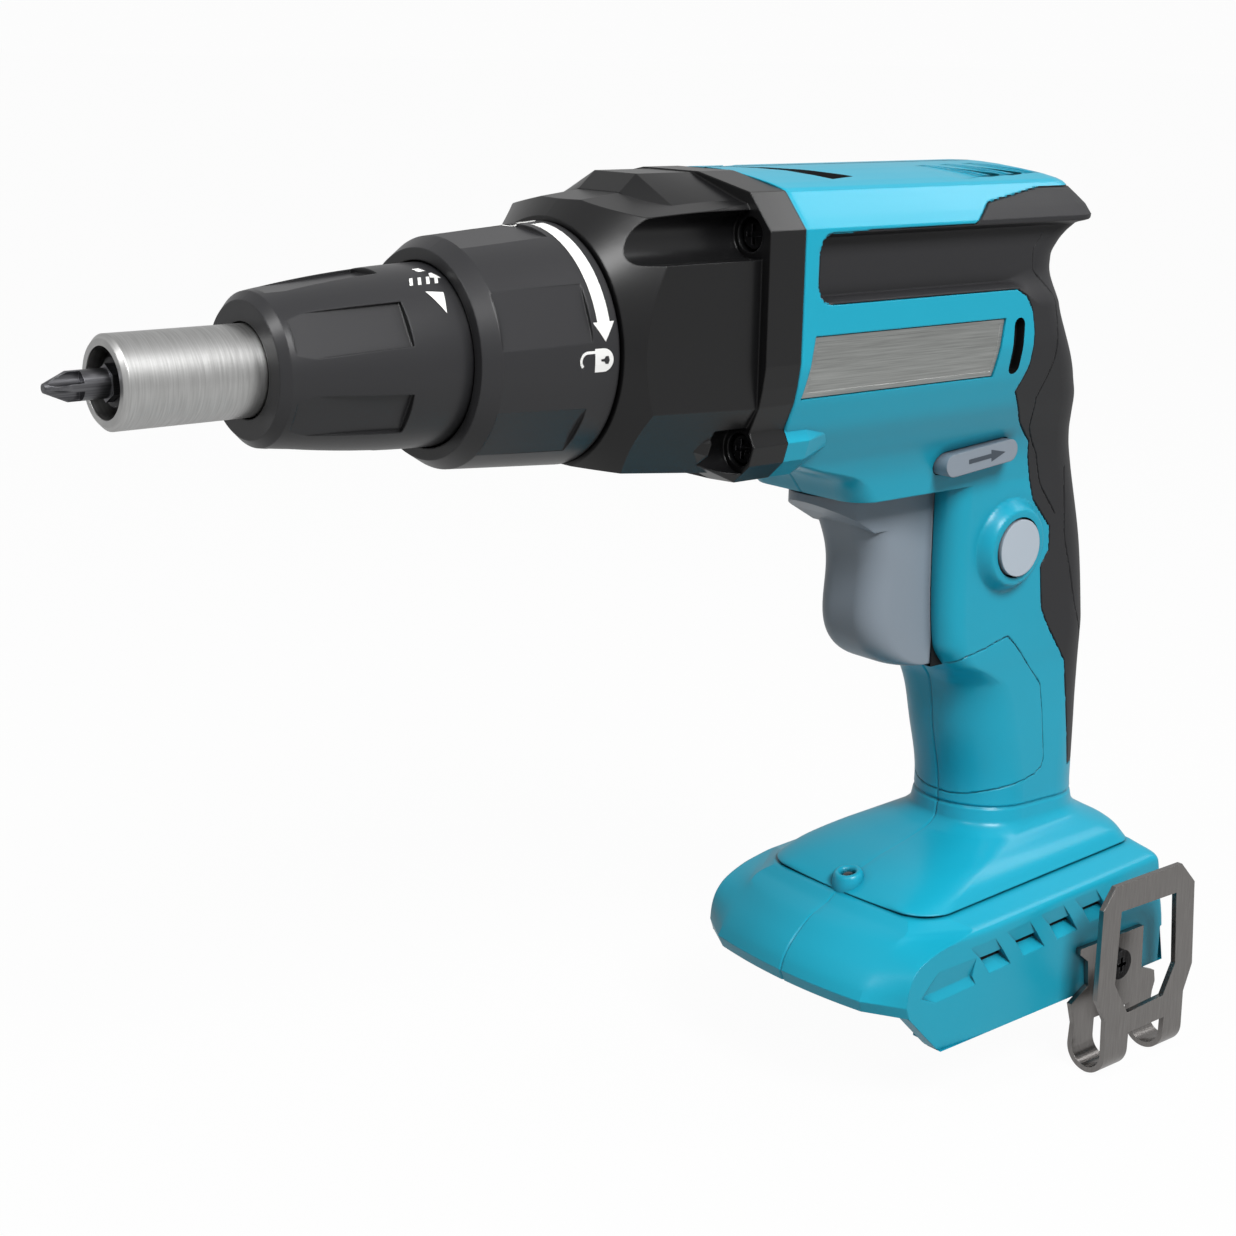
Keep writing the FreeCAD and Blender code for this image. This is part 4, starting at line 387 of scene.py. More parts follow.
def shapeSkin(rows, grid, buttonSide):
    # recess for the fingers, button seat, groove round the grip, tilt of the deck and centre seams
    x, y, z = grid[:, :, 0], grid[:, :, 1], grid[:, :, 2]
    tangent = np.gradient(grid[:, :, :2], axis=1)
    length = np.maximum(np.hypot(tangent[:, :, 0], tangent[:, :, 1]), 1e-9)
    normal = np.stack([tangent[:, :, 1] / length, -tangent[:, :, 0] / length], axis=2)
    front, low, high, depth, radius = skin["recess"]
    endFrom, endTo, drop, endSoft = skin["recessEnd"]
    edge = skin["recessEdge"]
    opening = fade(endFrom, endTo, x)
    lowEdge = low - drop * opening
    soft = edge + endSoft * opening
    dx = np.maximum(front + radius - x, 0.0)
    dz = np.maximum(np.maximum(low + radius - z, z - (high - radius)), 0.0)
    inside = radius - np.hypot(dx, np.where(x < endFrom, dz, 0.0))
    straight = np.minimum(np.where(x < endFrom, z - low, z - lowEdge), high - z)
    inside = np.where(x < front + radius, inside, straight)
    upper = fade(0.0, edge, np.minimum(high - z, inside))
    lower = fade(0.0, 1.0, (z - lowEdge) / soft)
    sink = depth * upper * np.where(x < front + radius, 1.0, lower)
    sink = np.where((z > lowEdge) & (z < high) & (x > front), sink, 0.0)
    bx, bz, flat, foot, height = skin["bezel"]
    reach = np.hypot(x - bx, z - bz)
    if buttonSide:
        sink = sink - height * (1 - fade(flat, foot, reach)) * (y < -10)
    ringDepth, ringHalf, ringLevel, ringX, fall, dip = skin["ring"]
    ringLine = ringLevel - fall * (x - ringX) - dip * np.clip(1 + y / 17, 0, 1) ** 2 * (x < 262)
    sink = sink + ringDepth * np.exp(-((z - ringLine) / ringHalf) ** 2) * ((z < -120) & (z > -142))
    domeLevel, domeDepth, domeHalf = skin["dome"]
    sink = sink + domeDepth * np.exp(-((z - domeLevel) / domeHalf) ** 2)
    taper, taperFront, taperRear = skin["taper"]
    y *= 1 - taper * (1 - fade(taperFront, taperRear, x)) * (1 - fade(-156.0, -151.5, z))
    weight = np.where(reach < foot, 1.0, np.clip(np.abs(normal[:, :, 1]), 0, 1))
    weight = np.where(z < -120, 1.0, weight)
    x -= normal[:, :, 0] * sink * weight
    y -= normal[:, :, 1] * sink * weight
    seamDepth = skin["seamDepth"]
    x[:, 0] += seamDepth
    x[:, -1] -= seamDepth
    y[:, 0] = 0.0
    y[:, -1] = 0.0
    level = rows[:, 0][:, None]
    lift = fade(-163.0, -153.5, level) * (1 - fade(-148.0, -137.0, level))
    z += skin["deckTilt"] * (x - skin["deckPivot"]) * lift


def inPolygon(points, corners):
    inside = np.zeros(len(points), bool)
    x, z = points[:, 0], points[:, 1]
    for (ax, az), (bx, bz) in zip(corners, corners[1:] + corners[:1]):
        cross = (az > z) != (bz > z)
        with np.errstate(divide="ignore", invalid="ignore"):
            at = (bx - ax) * (z - az) / (bz - az) + ax
        inside ^= cross & (x < at)
    return inside


def flatPoint(co, plane):
    return (co.x, co.z) if plane == "xz" else (co.x, co.y)


def faceGeom(faces):
    geom = set()
    for face in faces:
        geom.add(face)
        geom.update(face.verts)
        geom.update(face.edges)
    return list(geom)


def facesOf(result):
    return [item for item in result["geom"] if isinstance(item, bmesh.types.BMFace)]


cellSize = 4.0  # of the grid that faces are looked up in


def addToCells(cells, faces, plane):
    for face in faces:
        a, b = flatPoint(face.calc_center_median(), plane)
        cells.setdefault((int(a // cellSize), int(b // cellSize)), []).append(face)


def facesAlong(cells, ax, az, bx, bz):
    # faces of the cells that a stretch of a line passes, with a margin of one cell
    keys = set()
    count = max(1, int(math.hypot(bx - ax, bz - az) / 2.0))
    for i in range(count + 1):
        a, b = int((ax + (bx - ax) * i / count) // cellSize), int((az + (bz - az) * i / count) // cellSize)
        keys.update((a + da, b + db) for da in (-1, 0, 1) for db in (-1, 0, 1))
    return [face for key in keys for face in cells.get(key, []) if face.is_valid]


def cutAlong(bm, cells, points, offsets, closed=False, plane="xz", pick=lambda face: True):
    # slice the skin with planes along each stretch of a line, so that the line lies on edges
    pairs = list(zip(points, points[1:] + points[:1])) if closed else list(zip(points, points[1:]))
    for (ax, az), (bx, bz) in pairs:
        run = math.hypot(bx - ax, bz - az)
        ux, uz = (bx - ax) / run, (bz - az) / run
        for offset in offsets:
            local = []
            for face in facesAlong(cells, ax, az, bx, bz):
                spots = [flatPoint(vert.co, plane) for vert in face.verts]
                side = [-(a - ax) * uz + (b - az) * ux - offset for a, b in spots]
                if min(side) > -1e-5 or max(side) < 1e-5:
                    continue
                reach = [(a - ax) * ux + (b - az) * uz for a, b in spots]
                if max(reach) >= -0.5 and min(reach) <= run + 0.5 and pick(face):
                    local.append(face)
            if not local:
                continue
            a, b = ax - uz * offset, az + ux * offset
            centre = (a, 0, b) if plane == "xz" else (a, b, 0)
            direction = (-uz, 0, ux) if plane == "xz" else (-uz, ux, 0)
            result = bmesh.ops.bisect_plane(bm, geom=faceGeom(local), dist=1e-5,
                                            plane_co=centre, plane_no=direction)
            addToCells(cells, facesOf(result), plane)
    found = set()
    for (ax, az), (bx, bz) in pairs:
        found.update(facesAlong(cells, ax, az, bx, bz))
    return [face for face in found if pick(face)]


def distanceToLine(a, b, points, closed):
    best = 1e9
    pairs = list(zip(points, points[1:] + points[:1])) if closed else list(zip(points, points[1:]))
    for (ax, az), (bx, bz) in pairs:
        run2 = (bx - ax) ** 2 + (bz - az) ** 2
        t = min(1.0, max(0.0, ((a - ax) * (bx - ax) + (b - az) * (bz - az)) / run2))
        best = min(best, math.hypot(a - ax - t * (bx - ax), b - az - t * (bz - az)))
    return best


def groove(bm, cells, points, width, depth, closed=False, plane="xz", pick=lambda face: True):
    faces = cutAlong(bm, cells, points, (-width / 2, 0.0, width / 2), closed, plane, pick)
    moved = {}
    for face in faces:
        face.normal_update()
    for face in faces:
        for vert in face.verts:
            if vert not in moved and distanceToLine(*flatPoint(vert.co, plane), points, closed) < 0.03:
                vert.normal_update()
                moved[vert] = vert.co - vert.normal * depth
    for vert, spot in moved.items():
        vert.co = spot


def insideFaces(cells, corners, plane, pick):
    # faces whose middle lies inside an outline
    lowA, highA = min(p[0] for p in corners), max(p[0] for p in corners)
    lowB, highB = min(p[1] for p in corners), max(p[1] for p in corners)
    found = set()
    for a in range(int(lowA // cellSize) - 1, int(highA // cellSize) + 2):
        for b in range(int(lowB // cellSize) - 1, int(highB // cellSize) + 2):
            found.update(face for face in cells.get((a, b), []) if face.is_valid and pick(face))
    found = list(found)
    if not found:
        return []
    spots = np.array([flatPoint(face.calc_center_median(), plane) for face in found])
    return [face for face, flag in zip(found, inPolygon(spots, list(corners))) if flag]


def pocket(bm, cells, corners, shift, floor=True, plane="xz", pick=lambda face: True, ramp=None,
           finish=None, wallFinish=None):
    # sink the skin inside an outline, with upright walls
    cutAlong(bm, cells, corners, (0.0,), True, plane, pick)
    inner = insideFaces(cells, corners, plane, pick)
    result = bmesh.ops.extrude_face_region(bm, geom=inner)
    lowered = [item for item in result["geom"] if isinstance(item, bmesh.types.BMVert)]
    floorFaces = facesOf(result)
    walls = {face for vert in lowered for face in vert.link_faces} - set(floorFaces)
    for vert in lowered:
        vert.co += Vector(shift) * (ramp(vert.co) if ramp else 1.0)
    bmesh.ops.delete(bm, geom=[face for face in inner if face.is_valid], context="FACES_ONLY")
    for face in walls:
        if face.is_valid and wallFinish is not None:
            face.material_index = wallFinish
    if not floor:
        bmesh.ops.delete(bm, geom=floorFaces, context="FACES")
        return []
    if finish is not None:
        for face in floorFaces:
            face.material_index = finish
    addToCells(cells, floorFaces, plane)
    return floorFaces


def roundEnds(ax, az, bx, bz, radius, count=7):
    # outline of a slot with round ends
    angle = math.atan2(bz - az, bx - ax)
    out = []
    for cx, cz, start in ((bx, bz, angle - math.pi / 2), (ax, az, angle + math.pi / 2)):
        for i in range(count + 1):
            a = start + math.pi * i / count
            out.append((cx + radius * math.cos(a), cz + radius * math.sin(a)))
    return out


def circle(cx, cz, radius, count=28):
    turns = [2 * math.pi * i / count for i in range(count)]
    return [(cx + radius * math.cos(turn), cz + radius * math.sin(turn)) for turn in turns]


# lines drawn on the skin, as side views (x, z)
skinLines = {
    "rubberZone": [
        (158.3, 8.4), (156.3, 8.94), (154.84, 10.4), (154.3, 12.4), (154.3, 20.0), (154.84, 22.0),
        (156.3, 23.46), (158.3, 24.0), (204.5, 24.3), (211.7, 28.8), (231.8, 31.6), (300.0, 31.6),
        (300.0, -126.0), (275.0, -126.0), (271.8, -109.0), (268.8, -95.0), (260.0, -83.6), (257.0, -78.8),
        (255.0, -66.9), (257.7, -63.0), (257.0, -56.5), (248.8, -48.2), (246.2, -41.6), (242.0, -32.0),
        (234.0, -26.0), (228.5, -20.0), (226.0, -17.0), (228.1, -10.3), (228.0, -2.0), (226.7, 3.1),
        (224.4, 6.6), (220.6, 8.4)],
    "rubberPanel": [
        (233.1, 20.4), (230.4, 17.3), (230.5, 12.2), (235.6, 6.1), (236.7, 0.8), (237.2, -9.1),
        (235.2, -19.5), (239.2, -27.9), (247.0, -36.0), (251.4, -45.0), (258.4, -53.0)],
    "rubberLow": [
        (260.2, -40.9), (261.7, -49.3), (263.6, -60.0), (267.5, -70.0), (271.0, -80.0), (277.4, -91.0)],
    "gripPanel": [
        (226.0, -89.4), (228.5, -87.4), (236.2, -86.2), (240.9, -84.9), (244.4, -84.4), (247.7, -87.2),
        (259.5, -100.0), (261.4, -108.3), (263.4, -121.5), (262.6, -124.0), (259.8, -125.6), (255.7, -126.4),
        (247.3, -127.9), (243.0, -129.3), (239.8, -131.0)],
}


# features cut into the skin
features = {
    "plate": [(151.3, -12.3), (215.3, -12.3), (217.2, 1.7), (153.8, 1.7)],
    "plateDepth": 0.7,
    "airSlot": (222.3, -10.3, 222.3, -0.3, 1.9, 2.6),
    "lever": (221.0, -33.6, 10.2, 3.1, 5.0),  # centre, half length, radius, tilt in degrees
    "leverDepth": 2.2,
    "button": (241.0, -59.4, 8.0),
    "buttonDepth": 3.0,
    # foot vents: outline of the first, step to the next, number, depth at the top edge
    "vent": ([(217.5, -160.8), (225.9, -160.4), (229.4, -165.2), (221.1, -165.8)], (13.45, 1.2), 4, 3.4),
    "ventShadeStrip": 1.9,  # height of the strip under each hood painted black as the shade deep in the vent
    # top edge of the slope above each vent, depth at its foot
    "ventHood": ([(213.6, -157.0), (222.6, -156.4)], 0.6),
    "footRamp": ([(197.3, -166.8), (214.8, -165.0), (216.3, -167.6), (202.3, -169.1)], 0.85),
    "rampHood": ([(203.0, -160.8), (216.0, -160.2)], 0.8),
    "roofSlot": ([(156.0, -1.2), (160.5, -3.2), (171.3, -11.0), (178.4, -18.2), (170.0, -20.0),
                  (164.6, -10.6)], 2.6),
    "roofLouvres": ([(203.0, -24.5), (226.0, -20.5), (212.0, -8.5), (208.0, -9.5)], (9.0, 0.6), 3, 1.1),
}


# which finish a face of the skin takes; the last is black, painted as shade in slots, gaps and hollows
tealFace, rubberFace, shadeBlackFace = 0, 1, 2


def sideFace(face):
    return face.normal.y < -0.35


def upFace(face):
    return face.normal.z > 0.25


def gridFaces(bm, grid):
    verts = [[bm.verts.new(Vector(point)) for point in line] for line in grid]
    for lower, upper in zip(verts, verts[1:]):
        for j in range(len(lower) - 1):
            bm.faces.new((lower[j], lower[j + 1], upper[j + 1], upper[j]))
    return verts


def trimOpening(bm):
    # the trigger's opening, in the front of the handle and under the chin
    half, low, high, reach = skin["trigger"]
    gone = []
    for face in bm.faces:
        spot = face.calc_center_median()
        if -spot.y < half and low < spot.z < high - 0.01 and spot.x < reach:
            gone.append(face)
    bmesh.ops.delete(bm, geom=gone, context="FACES")


def chinFloor(bm, outline):
    # underside of the chin, on each side of the trigger's opening
    half, _, high, _ = skin["trigger"]
    frontCount, cornerCount = skin["samples"][:2]
    edge = [point for point in outline[:frontCount + cornerCount] if -point[1] >= half - 0.001]
    near = [bm.verts.new((point[0], point[1], high)) for point in edge]
    far = [bm.verts.new((skin["foreSide"][0] - 3.0, point[1], high)) for point in edge]
    for j in range(len(edge) - 1):
        bm.faces.new((near[j + 1], near[j], far[j], far[j + 1]))


def cheekSide(bm, bottom):
    # outer side of the cheek under the foot, from the lowest level down
    frontTop, frontLow, lowFront, lowRear, thick = skin["cheek"]
    rearEnd = 295.4  # where the lower edge is lowRear high
    frontCount, cornerCount, sideCount = skin["samples"][:3]
    upper = bottom[frontCount + cornerCount - 1:frontCount + cornerCount + sideCount]
    base = bottom[0].co.z
    rows = [upper]
    for share in (0.35, 0.7, 1.0):
        row = []
        for vert in upper:
            x = vert.co.x
            low = lowFront + (lowRear - lowFront) * max(0.0, x - frontLow) / (rearEnd - frontLow)
            if x < frontLow:
                low = base + (lowFront - base) * max(0.004, (x - frontTop) / (frontLow - frontTop))
            row.append(bm.verts.new((x, vert.co.y, base + (low - base) * share)))
        rows.append(row)
    for high, under in zip(rows, rows[1:]):
        for j in range(len(high) - 1):
            bm.faces.new((under[j], under[j + 1], high[j + 1], high[j]))
    outer = [vert for vert in rows[-1] if vert.co.x < frontLow + 1.0]
    inner = [bm.verts.new((vert.co.x, vert.co.y + thick, vert.co.z)) for vert in outer]
    roots = [bm.verts.new((vert.co.x, vert.co.y, base + 0.5)) for vert in inner]
    for j in range(len(outer) - 1):
        bm.faces.new((outer[j], inner[j], inner[j + 1], outer[j + 1]))
        bm.faces.new((inner[j], roots[j], roots[j + 1], inner[j + 1]))


def heightAt(start, end, x):
    return start[1] + (end[1] - start[1]) * (x - start[0]) / (end[0] - start[0])


def hoodedPocket(bm, cells, outline, depth, hood, hoodDepth, dark=0.0):
    # hollow that slopes in from the hood's top edge, drops under the hood and slopes out again
    step = 0.3

    def sink(co):
        top, middle, low = (heightAt(*ends, co.x) for ends in (hood, outline[:2], outline[:1:-1]))
        if co.z > middle - step / 2:
            return hoodDepth * min(1.0, max(0.02, (top - co.z) / (top - middle)))
        return depth * min(1.0, max(0.02, (co.z - low) / (middle - low)))

    cutAlong(bm, cells, outline[:2], (0.0, -step, -dark), pick=sideFace)
    floor = pocket(bm, cells, [*hood, *outline[1:], outline[0]], (0, 1.0, 0), pick=sideFace, ramp=sink)
    # floor faces just under the drop are painted black as the shade deep in the vent
    for face in floor:
        spot = face.calc_center_median()
        if 0.0 < heightAt(*outline[:2], spot.x) - spot.z < dark:
            face.material_index = shadeBlackFace


def cutFeatures(bm, buttonSide):
    cells = {}
    addToCells(cells, bm.faces, "xz")
    zone = skinLines["rubberZone"]
    groove(bm, cells, zone, 0.7, 0.42, closed=True, pick=lambda face: face.normal.y < -0.02)
    for face in insideFaces(cells, zone, "xz", lambda face: True):
        face.material_index = rubberFace
    groove(bm, cells, skinLines["rubberPanel"], 0.7, 0.4, pick=lambda face: face.normal.y < -0.05)
    groove(bm, cells, skinLines["rubberLow"], 0.7, 0.35, pick=lambda face: face.normal.y < -0.05)
    groove(bm, cells, skinLines["gripPanel"], 0.7, 0.4, pick=lambda face: face.normal.y < 0.02)
    pocket(bm, cells, features["plate"], (0, features["plateDepth"], 0), floor=False, pick=sideFace)
    ax, az, bx, bz, radius, depth = features["airSlot"]
    # the slot's floor and walls are painted black as the shade inside it
    pocket(bm, cells, roundEnds(ax, az, bx, bz, radius), (0, depth, 0), pick=sideFace,
           finish=shadeBlackFace, wallFinish=shadeBlackFace)
    x, z, flat, radius, tilt = features["lever"]
    dx, dz = flat * math.cos(math.radians(tilt)), flat * math.sin(math.radians(tilt))
    # the walls round the lever are painted black as the shade in the gap
    pocket(bm, cells, roundEnds(x - dx, z - dz, x + dx, z + dz, radius), (0, features["leverDepth"], 0),
           floor=False, pick=sideFace, wallFinish=shadeBlackFace)
    if buttonSide:
        x, z, radius = features["button"]
        # the walls round the button are painted black as the shade in the gap
        pocket(bm, cells, circle(x, z, radius), (0, features["buttonDepth"], 0),
               floor=False, pick=sideFace, wallFinish=shadeBlackFace)
    outline, (stepX, stepZ), count, depth = features["vent"]
    hood, hoodDepth = features["ventHood"]
    for i in range(count):
        moved, above = ([(a + stepX * i, b + stepZ * i) for a, b in corners] for corners in (outline, hood))
        hoodedPocket(bm, cells, moved, depth, above, hoodDepth, features["ventShadeStrip"])
    hoodedPocket(bm, cells, *features["footRamp"], *features["rampHood"])
    roof, roofLevel = {}, 28.0
    upper = [face for face in bm.faces if upFace(face) and face.calc_center_median().z > roofLevel]
    addToCells(roof, upper, "xy")
    outline, depth = features["roofSlot"]
    # the roof slot's floor and walls are painted black as the shade inside it
    pocket(bm, roof, outline, (0, 0, -depth), plane="xy", pick=upFace, finish=shadeBlackFace, wallFinish=shadeBlackFace)
    outline, (stepX, stepY), count, depth = features["roofLouvres"]
    for i in range(count):
        moved = [(a + stepX * i, b + stepY * i) for a, b in outline]
        startX, endX = moved[3][0], moved[1][0]
        pocket(bm, roof, moved, (0, 0, -depth), plane="xy", pick=upFace,
               ramp=lambda co: min(1.0, max(0.03, (co.x - startX) / (endX - startX))))


sharpAngle = 14  # edges of the skin that turn more stay crisp


def fixOrder(items, placeOf):
    # extruded walls come in no fixed order, so points and faces are sorted by where they lie
    ranked = sorted(items, key=lambda item: tuple(placeOf(item)))
    rank = {item: float(i) for i, item in enumerate(ranked)}
    items.sort(key=lambda item: rank[item])


def splitByFinish(bm, name, index):
    part = bm.copy()
    others = [face for face in part.faces if face.material_index != index]
    bmesh.ops.delete(part, geom=others, context="FACES")
    for face in part.faces:
        face.material_index = 0
        face.smooth = True
    mesh = bpy.data.meshes.new(name)
    part.to_mesh(mesh)
    part.free()
    mesh.set_sharp_from_angle(angle=math.radians(sharpAngle))
    item = bpy.data.objects.new(name, mesh)
    scene.collection.objects.link(item)
    return item


def buildSkin(side):
    buttonSide = side == "left"
    bm = bmesh.new()
    for rows, grid in skinGrids():
        outline = grid[0].copy()
        shapeSkin(rows, grid, buttonSide)
        verts = gridFaces(bm, grid)
        if rows[0, 0] > -50:
            chinFloor(bm, outline)
        else:
            cheekSide(bm, verts[0])
    bmesh.ops.remove_doubles(bm, verts=bm.verts, dist=0.0005)
    bm.normal_update()
    trimOpening(bm)
    cutFeatures(bm, buttonSide)
    fixOrder(bm.verts, lambda vert: vert.co)
    fixOrder(bm.faces, lambda face: face.calc_center_median())
    flip = 1 if buttonSide else -1
    for vert in bm.verts:
        vert.co = Vector((vert.co.x, vert.co.y * flip, vert.co.z)) * mm
    if not buttonSide:
        bmesh.ops.reverse_faces(bm, faces=bm.faces)
    shell = splitByFinish(bm, "skin_shell_" + side, tealFace)
    shell.data.materials.append(finishes["tealAbs"])
    place(shell, "tool_body")
    cover = splitByFinish(bm, "skin_cover_" + side, rubberFace)
    cover.data.materials.append(finishes["blackRubber"])
    place(cover, "tool_body")
    # faces painted black as shade in slots, gaps and vents
    hollow = splitByFinish(bm, "skin_painted_shade_" + side, shadeBlackFace)
    hollow.data.materials.append(finishes["innerBlackAndShade"])
    place(hollow, "tool_body")
    bm.free()
    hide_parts("housing_" + side)
    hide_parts("rubber_cover_" + side)
    print("skin", side, len(shell.data.polygons), len(cover.data.polygons), len(hollow.data.polygons))
    return shell


# what stays of the CAD foot: its levels, the cheek's front, and how near the skin a face or a corner may lie
bay = {"top": -152.0, "rim": -171.2, "tuck": -173.0, "middle": (245.0, 0.0, -178.0), "cheekFront": 204.0,
       "cheekInner": 33.0, "cheekOuter": 37.5, "outerGap": 7.0, "innerGap": 1.7, "reach": 8.0,
       "clear": 0.4, "inset": 0.5}


def keepInside(side, shell):
    # battery bay, rails and cheeks of the CAD housing, without what the skin covers
    source = nodes["housing_" + side]
    bm = bmesh.new()
    bm.from_mesh(source.data)
    bm.transform(source.matrix_world)
    bmesh.ops.remove_doubles(bm, verts=bm.verts, dist=0.000005)
    rimPlane = ((0, 0, bay["rim"] * mm), (0, 0, 1))
    cheekPlane = ((bay["cheekFront"] * mm, 0, 0), (1, 0, 0))
    for spot, direction in (rimPlane, cheekPlane):
        bmesh.ops.bisect_plane(bm, geom=bm.verts[:] + bm.edges[:] + bm.faces[:], dist=1e-6,
                               plane_co=spot, plane_no=direction)
    cover = bmesh.new()
    cover.from_mesh(shell.data)
    tree = BVHTree.FromBMesh(cover)
    middle = Vector(bay["middle"]) * mm
    under = (bay["rim"] - 0.05) * mm
    gone = []
    for face in bm.faces:
        spot = face.calc_center_median()
        across = abs(spot.y)
        gap = bay["outerGap" if face.normal.dot(spot - middle) > 0 else "innerGap"] * mm
        if spot.z > bay["top"] * mm:
            gone.append(face)
        elif abs(face.normal.y) > 0.9 and across > bay["cheekOuter"] * mm:
            gone.append(face)
        elif spot.x < bay["cheekFront"] * mm and spot.z < under and across > bay["cheekInner"] * mm:
            gone.append(face)
        elif spot.z > under and tree.find_nearest(spot)[3] < gap:
            gone.append(face)
    bmesh.ops.delete(bm, geom=gone, context="FACES")
    for vert in bm.verts:
        hit, normal, _, gap = tree.find_nearest(vert.co)
        outside = (vert.co - hit).dot(normal) > -bay["clear"] * mm
        if vert.co.z > bay["tuck"] * mm and gap < bay["reach"] * mm and outside:
            vert.co = hit - normal * bay["inset"] * mm
    cover.free()
    for face in bm.faces:
        face.smooth = False
        face.material_index = 0
    mesh = bpy.data.meshes.new("bay_" + side)
    bm.to_mesh(mesh)
    bm.free()
    item = bpy.data.objects.new("bay_" + side, mesh)
    scene.collection.objects.link(item)
    mesh.materials.append(finishes["tealAbs"])
    place(item, "tool_body")
    print("bay", side, len(mesh.polygons))


for side in ("left", "right"):
    shell = buildSkin(side)
    keepInside(side, shell)


# trigger well, lugs, name plates and lamp ring

well = {"front": 222.0, "rear": 231.5, "margin": 0.05}


# black box in the trigger's opening, painted as the shade inside the handle
def boxWell():
    half, low, high, _ = skin["trigger"]
    x0, x1, y = well["front"], well["rear"], half + well["margin"]
    corners = [(x, *corner) for x in (x0, x1) for corner in ((-y, low), (y, low), (y, high), (-y, high))]
    faces = [(4, 5, 6, 7), (0, 3, 7, 4), (1, 5, 6, 2), (0, 4, 5, 1), (3, 2, 6, 7)]
    points = [Vector(corner) * mm for corner in corners]
    item = meshObject("trigger_well", points, faces, finishes["innerBlackAndShade"], False)
    mesh = item.data
    bm = bmesh.new()
    bm.from_mesh(mesh)
    middle = Vector(((x0 + x1) / 2, 0, (low + high) / 2)) * mm
    for face in bm.faces:
        face.normal_update()
        if face.normal.dot(middle - face.calc_center_median()) < 0:
            face.normal_flip()
    bm.to_mesh(mesh)
    bm.free()
    place(item, "tool_body")


lug = {
    "front": 149.5, "mid": 156.0, "rear": 173.0,
    "section": [(16.0, -31.0), (24.0, -30.6), (28.6, -26.4), (30.0, -22.0), (28.4, -19.0), (22.0, -14.0)],
    "end": [(15.0, -27.0), (20.5, -25.6), (23.8, -23.2), (24.8, -20.8), (24.6, -18.8), (21.0, -15.0)],
}


def makeLug(side):
    sign = -1 if side == "left" else 1
    points = []
    for x, rows in ((lug["front"], lug["section"]), (lug["mid"], lug["section"]), (lug["rear"], lug["end"])):
        points += [Vector((x, sign * y, z)) * mm for y, z in rows]
    count = len(lug["section"])
    faces = []
    for ring in (0, count):
        for j in range(count - 1):
            quad = (ring + j, ring + j + 1, ring + count + j + 1, ring + count + j)
            faces.append(quad if side == "left" else quad[::-1])
    item = meshObject("lug_" + side, points, faces, finishes["tealAbs"], False)
    place(item, "tool_body")


namePlate = {"depth": 0.5, "margin": 0.25, "border": 1.1, "step": 0.14, "slope": 0.12, "across": 40, "up": 14}


def stepsWithBorder(length, count):
    # distances across the plate: its edge, the step inside its border, then even ones to the other side
    border, inner = namePlate["border"], namePlate["border"] + namePlate["slope"]
    even = np.linspace(inner, length - inner, count)[1:]
    return np.concatenate([[0.0, border, inner], even, [length - border, length]])


def makePlate(side):
    # bare brushed plate that follows the barrel's side, with a thin stepped border
    sign = -1 if side == "left" else 1
    (blX, low), (brX, _), (trX, high), (tlX, _) = features["plate"]
    levels = np.array([row[0] for row in skin["barrel"]])
    halves = np.array([row[3] for row in skin["barrel"]])
    margin, border = namePlate["margin"], namePlate["border"]
    tall, wide = high - low - 2 * margin, trX - tlX - 2 * margin
    ups = stepsWithBorder(tall, namePlate["up"])
    sides = stepsWithBorder(wide, namePlate["across"])
    points, faces = [], []
    for up in ups:
        z = low + margin + up
        t = (z - low) / (high - low)
        left, right = blX + (tlX - blX) * t + margin, brX + (trX - brX) * t - margin
        edgeZ = min(up, tall - up)
        for run in sides:
            edge = min(run, wide - run, edgeZ)
            sink = namePlate["depth"] - (namePlate["step"] if edge < border + 0.01 else 0.0)
            y = float(monotone(levels, halves, np.array([z]))[0]) - sink
            points.append(Vector((left + (right - left) * run / wide, sign * y, z)) * mm)
    columns = len(sides)
    for i in range(len(ups) - 1):
        for j in range(columns - 1):
            quad = (i * columns + j, i * columns + j + 1, (i + 1) * columns + j + 1, (i + 1) * columns + j)
            faces.append(quad if side == "left" else quad[::-1])
    item = meshObject("plate_" + side, points, faces, finishes["brushedPlate"])
    item.data.set_sharp_from_angle(angle=math.radians(20))
    place(item, "tool_body")
    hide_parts("name_plate_" + side)


lampRing = {"x": 207.8, "z": -150.2, "tilt": 12.0, "count": 40,
            "profile": [(4.9, -1.2), (4.5, 1.2), (4.0, 3.0), (3.6, 3.9), (3.1, 4.2), (2.5, 4.1), (1.95, 3.4),
                        (1.9, 1.4)]}  # radius and height


def lampPoint(radius, height, turn):
    # place on the tilted axis of the work light
    tilt = math.radians(lampRing["tilt"])
    axis = Vector((-math.sin(tilt), 0, math.cos(tilt)))
    across = Vector((math.cos(tilt), 0, math.sin(tilt)))
    centre = Vector((lampRing["x"], 0, lampRing["z"]))
    out = across * radius * math.cos(turn) + Vector((0, 1, 0)) * radius * math.sin(turn)
    return (centre + axis * height + out) * mm


def turnProfile(profile, count):
    points, faces = [], []
    for radius, height in profile:
        points += [lampPoint(radius, height, 2 * math.pi * i / count) for i in range(count)]
    for ring in range(len(profile) - 1):
        for i in range(count):
            j = (i + 1) % count
            faces.append((ring * count + i, ring * count + j, (ring + 1) * count + j, (ring + 1) * count + i))
    return points, faces


def makeLampRing():
    points, faces = turnProfile(lampRing["profile"], lampRing["count"])
    item = meshObject("lamp_ring", points, faces, finishes["tealAbs"])
    place(item, "tool_body")


boxWell()
makeLampRing()
for side in ("left", "right"):
    makeLug(side)
    makePlate(side)
print("small housing pieces built")


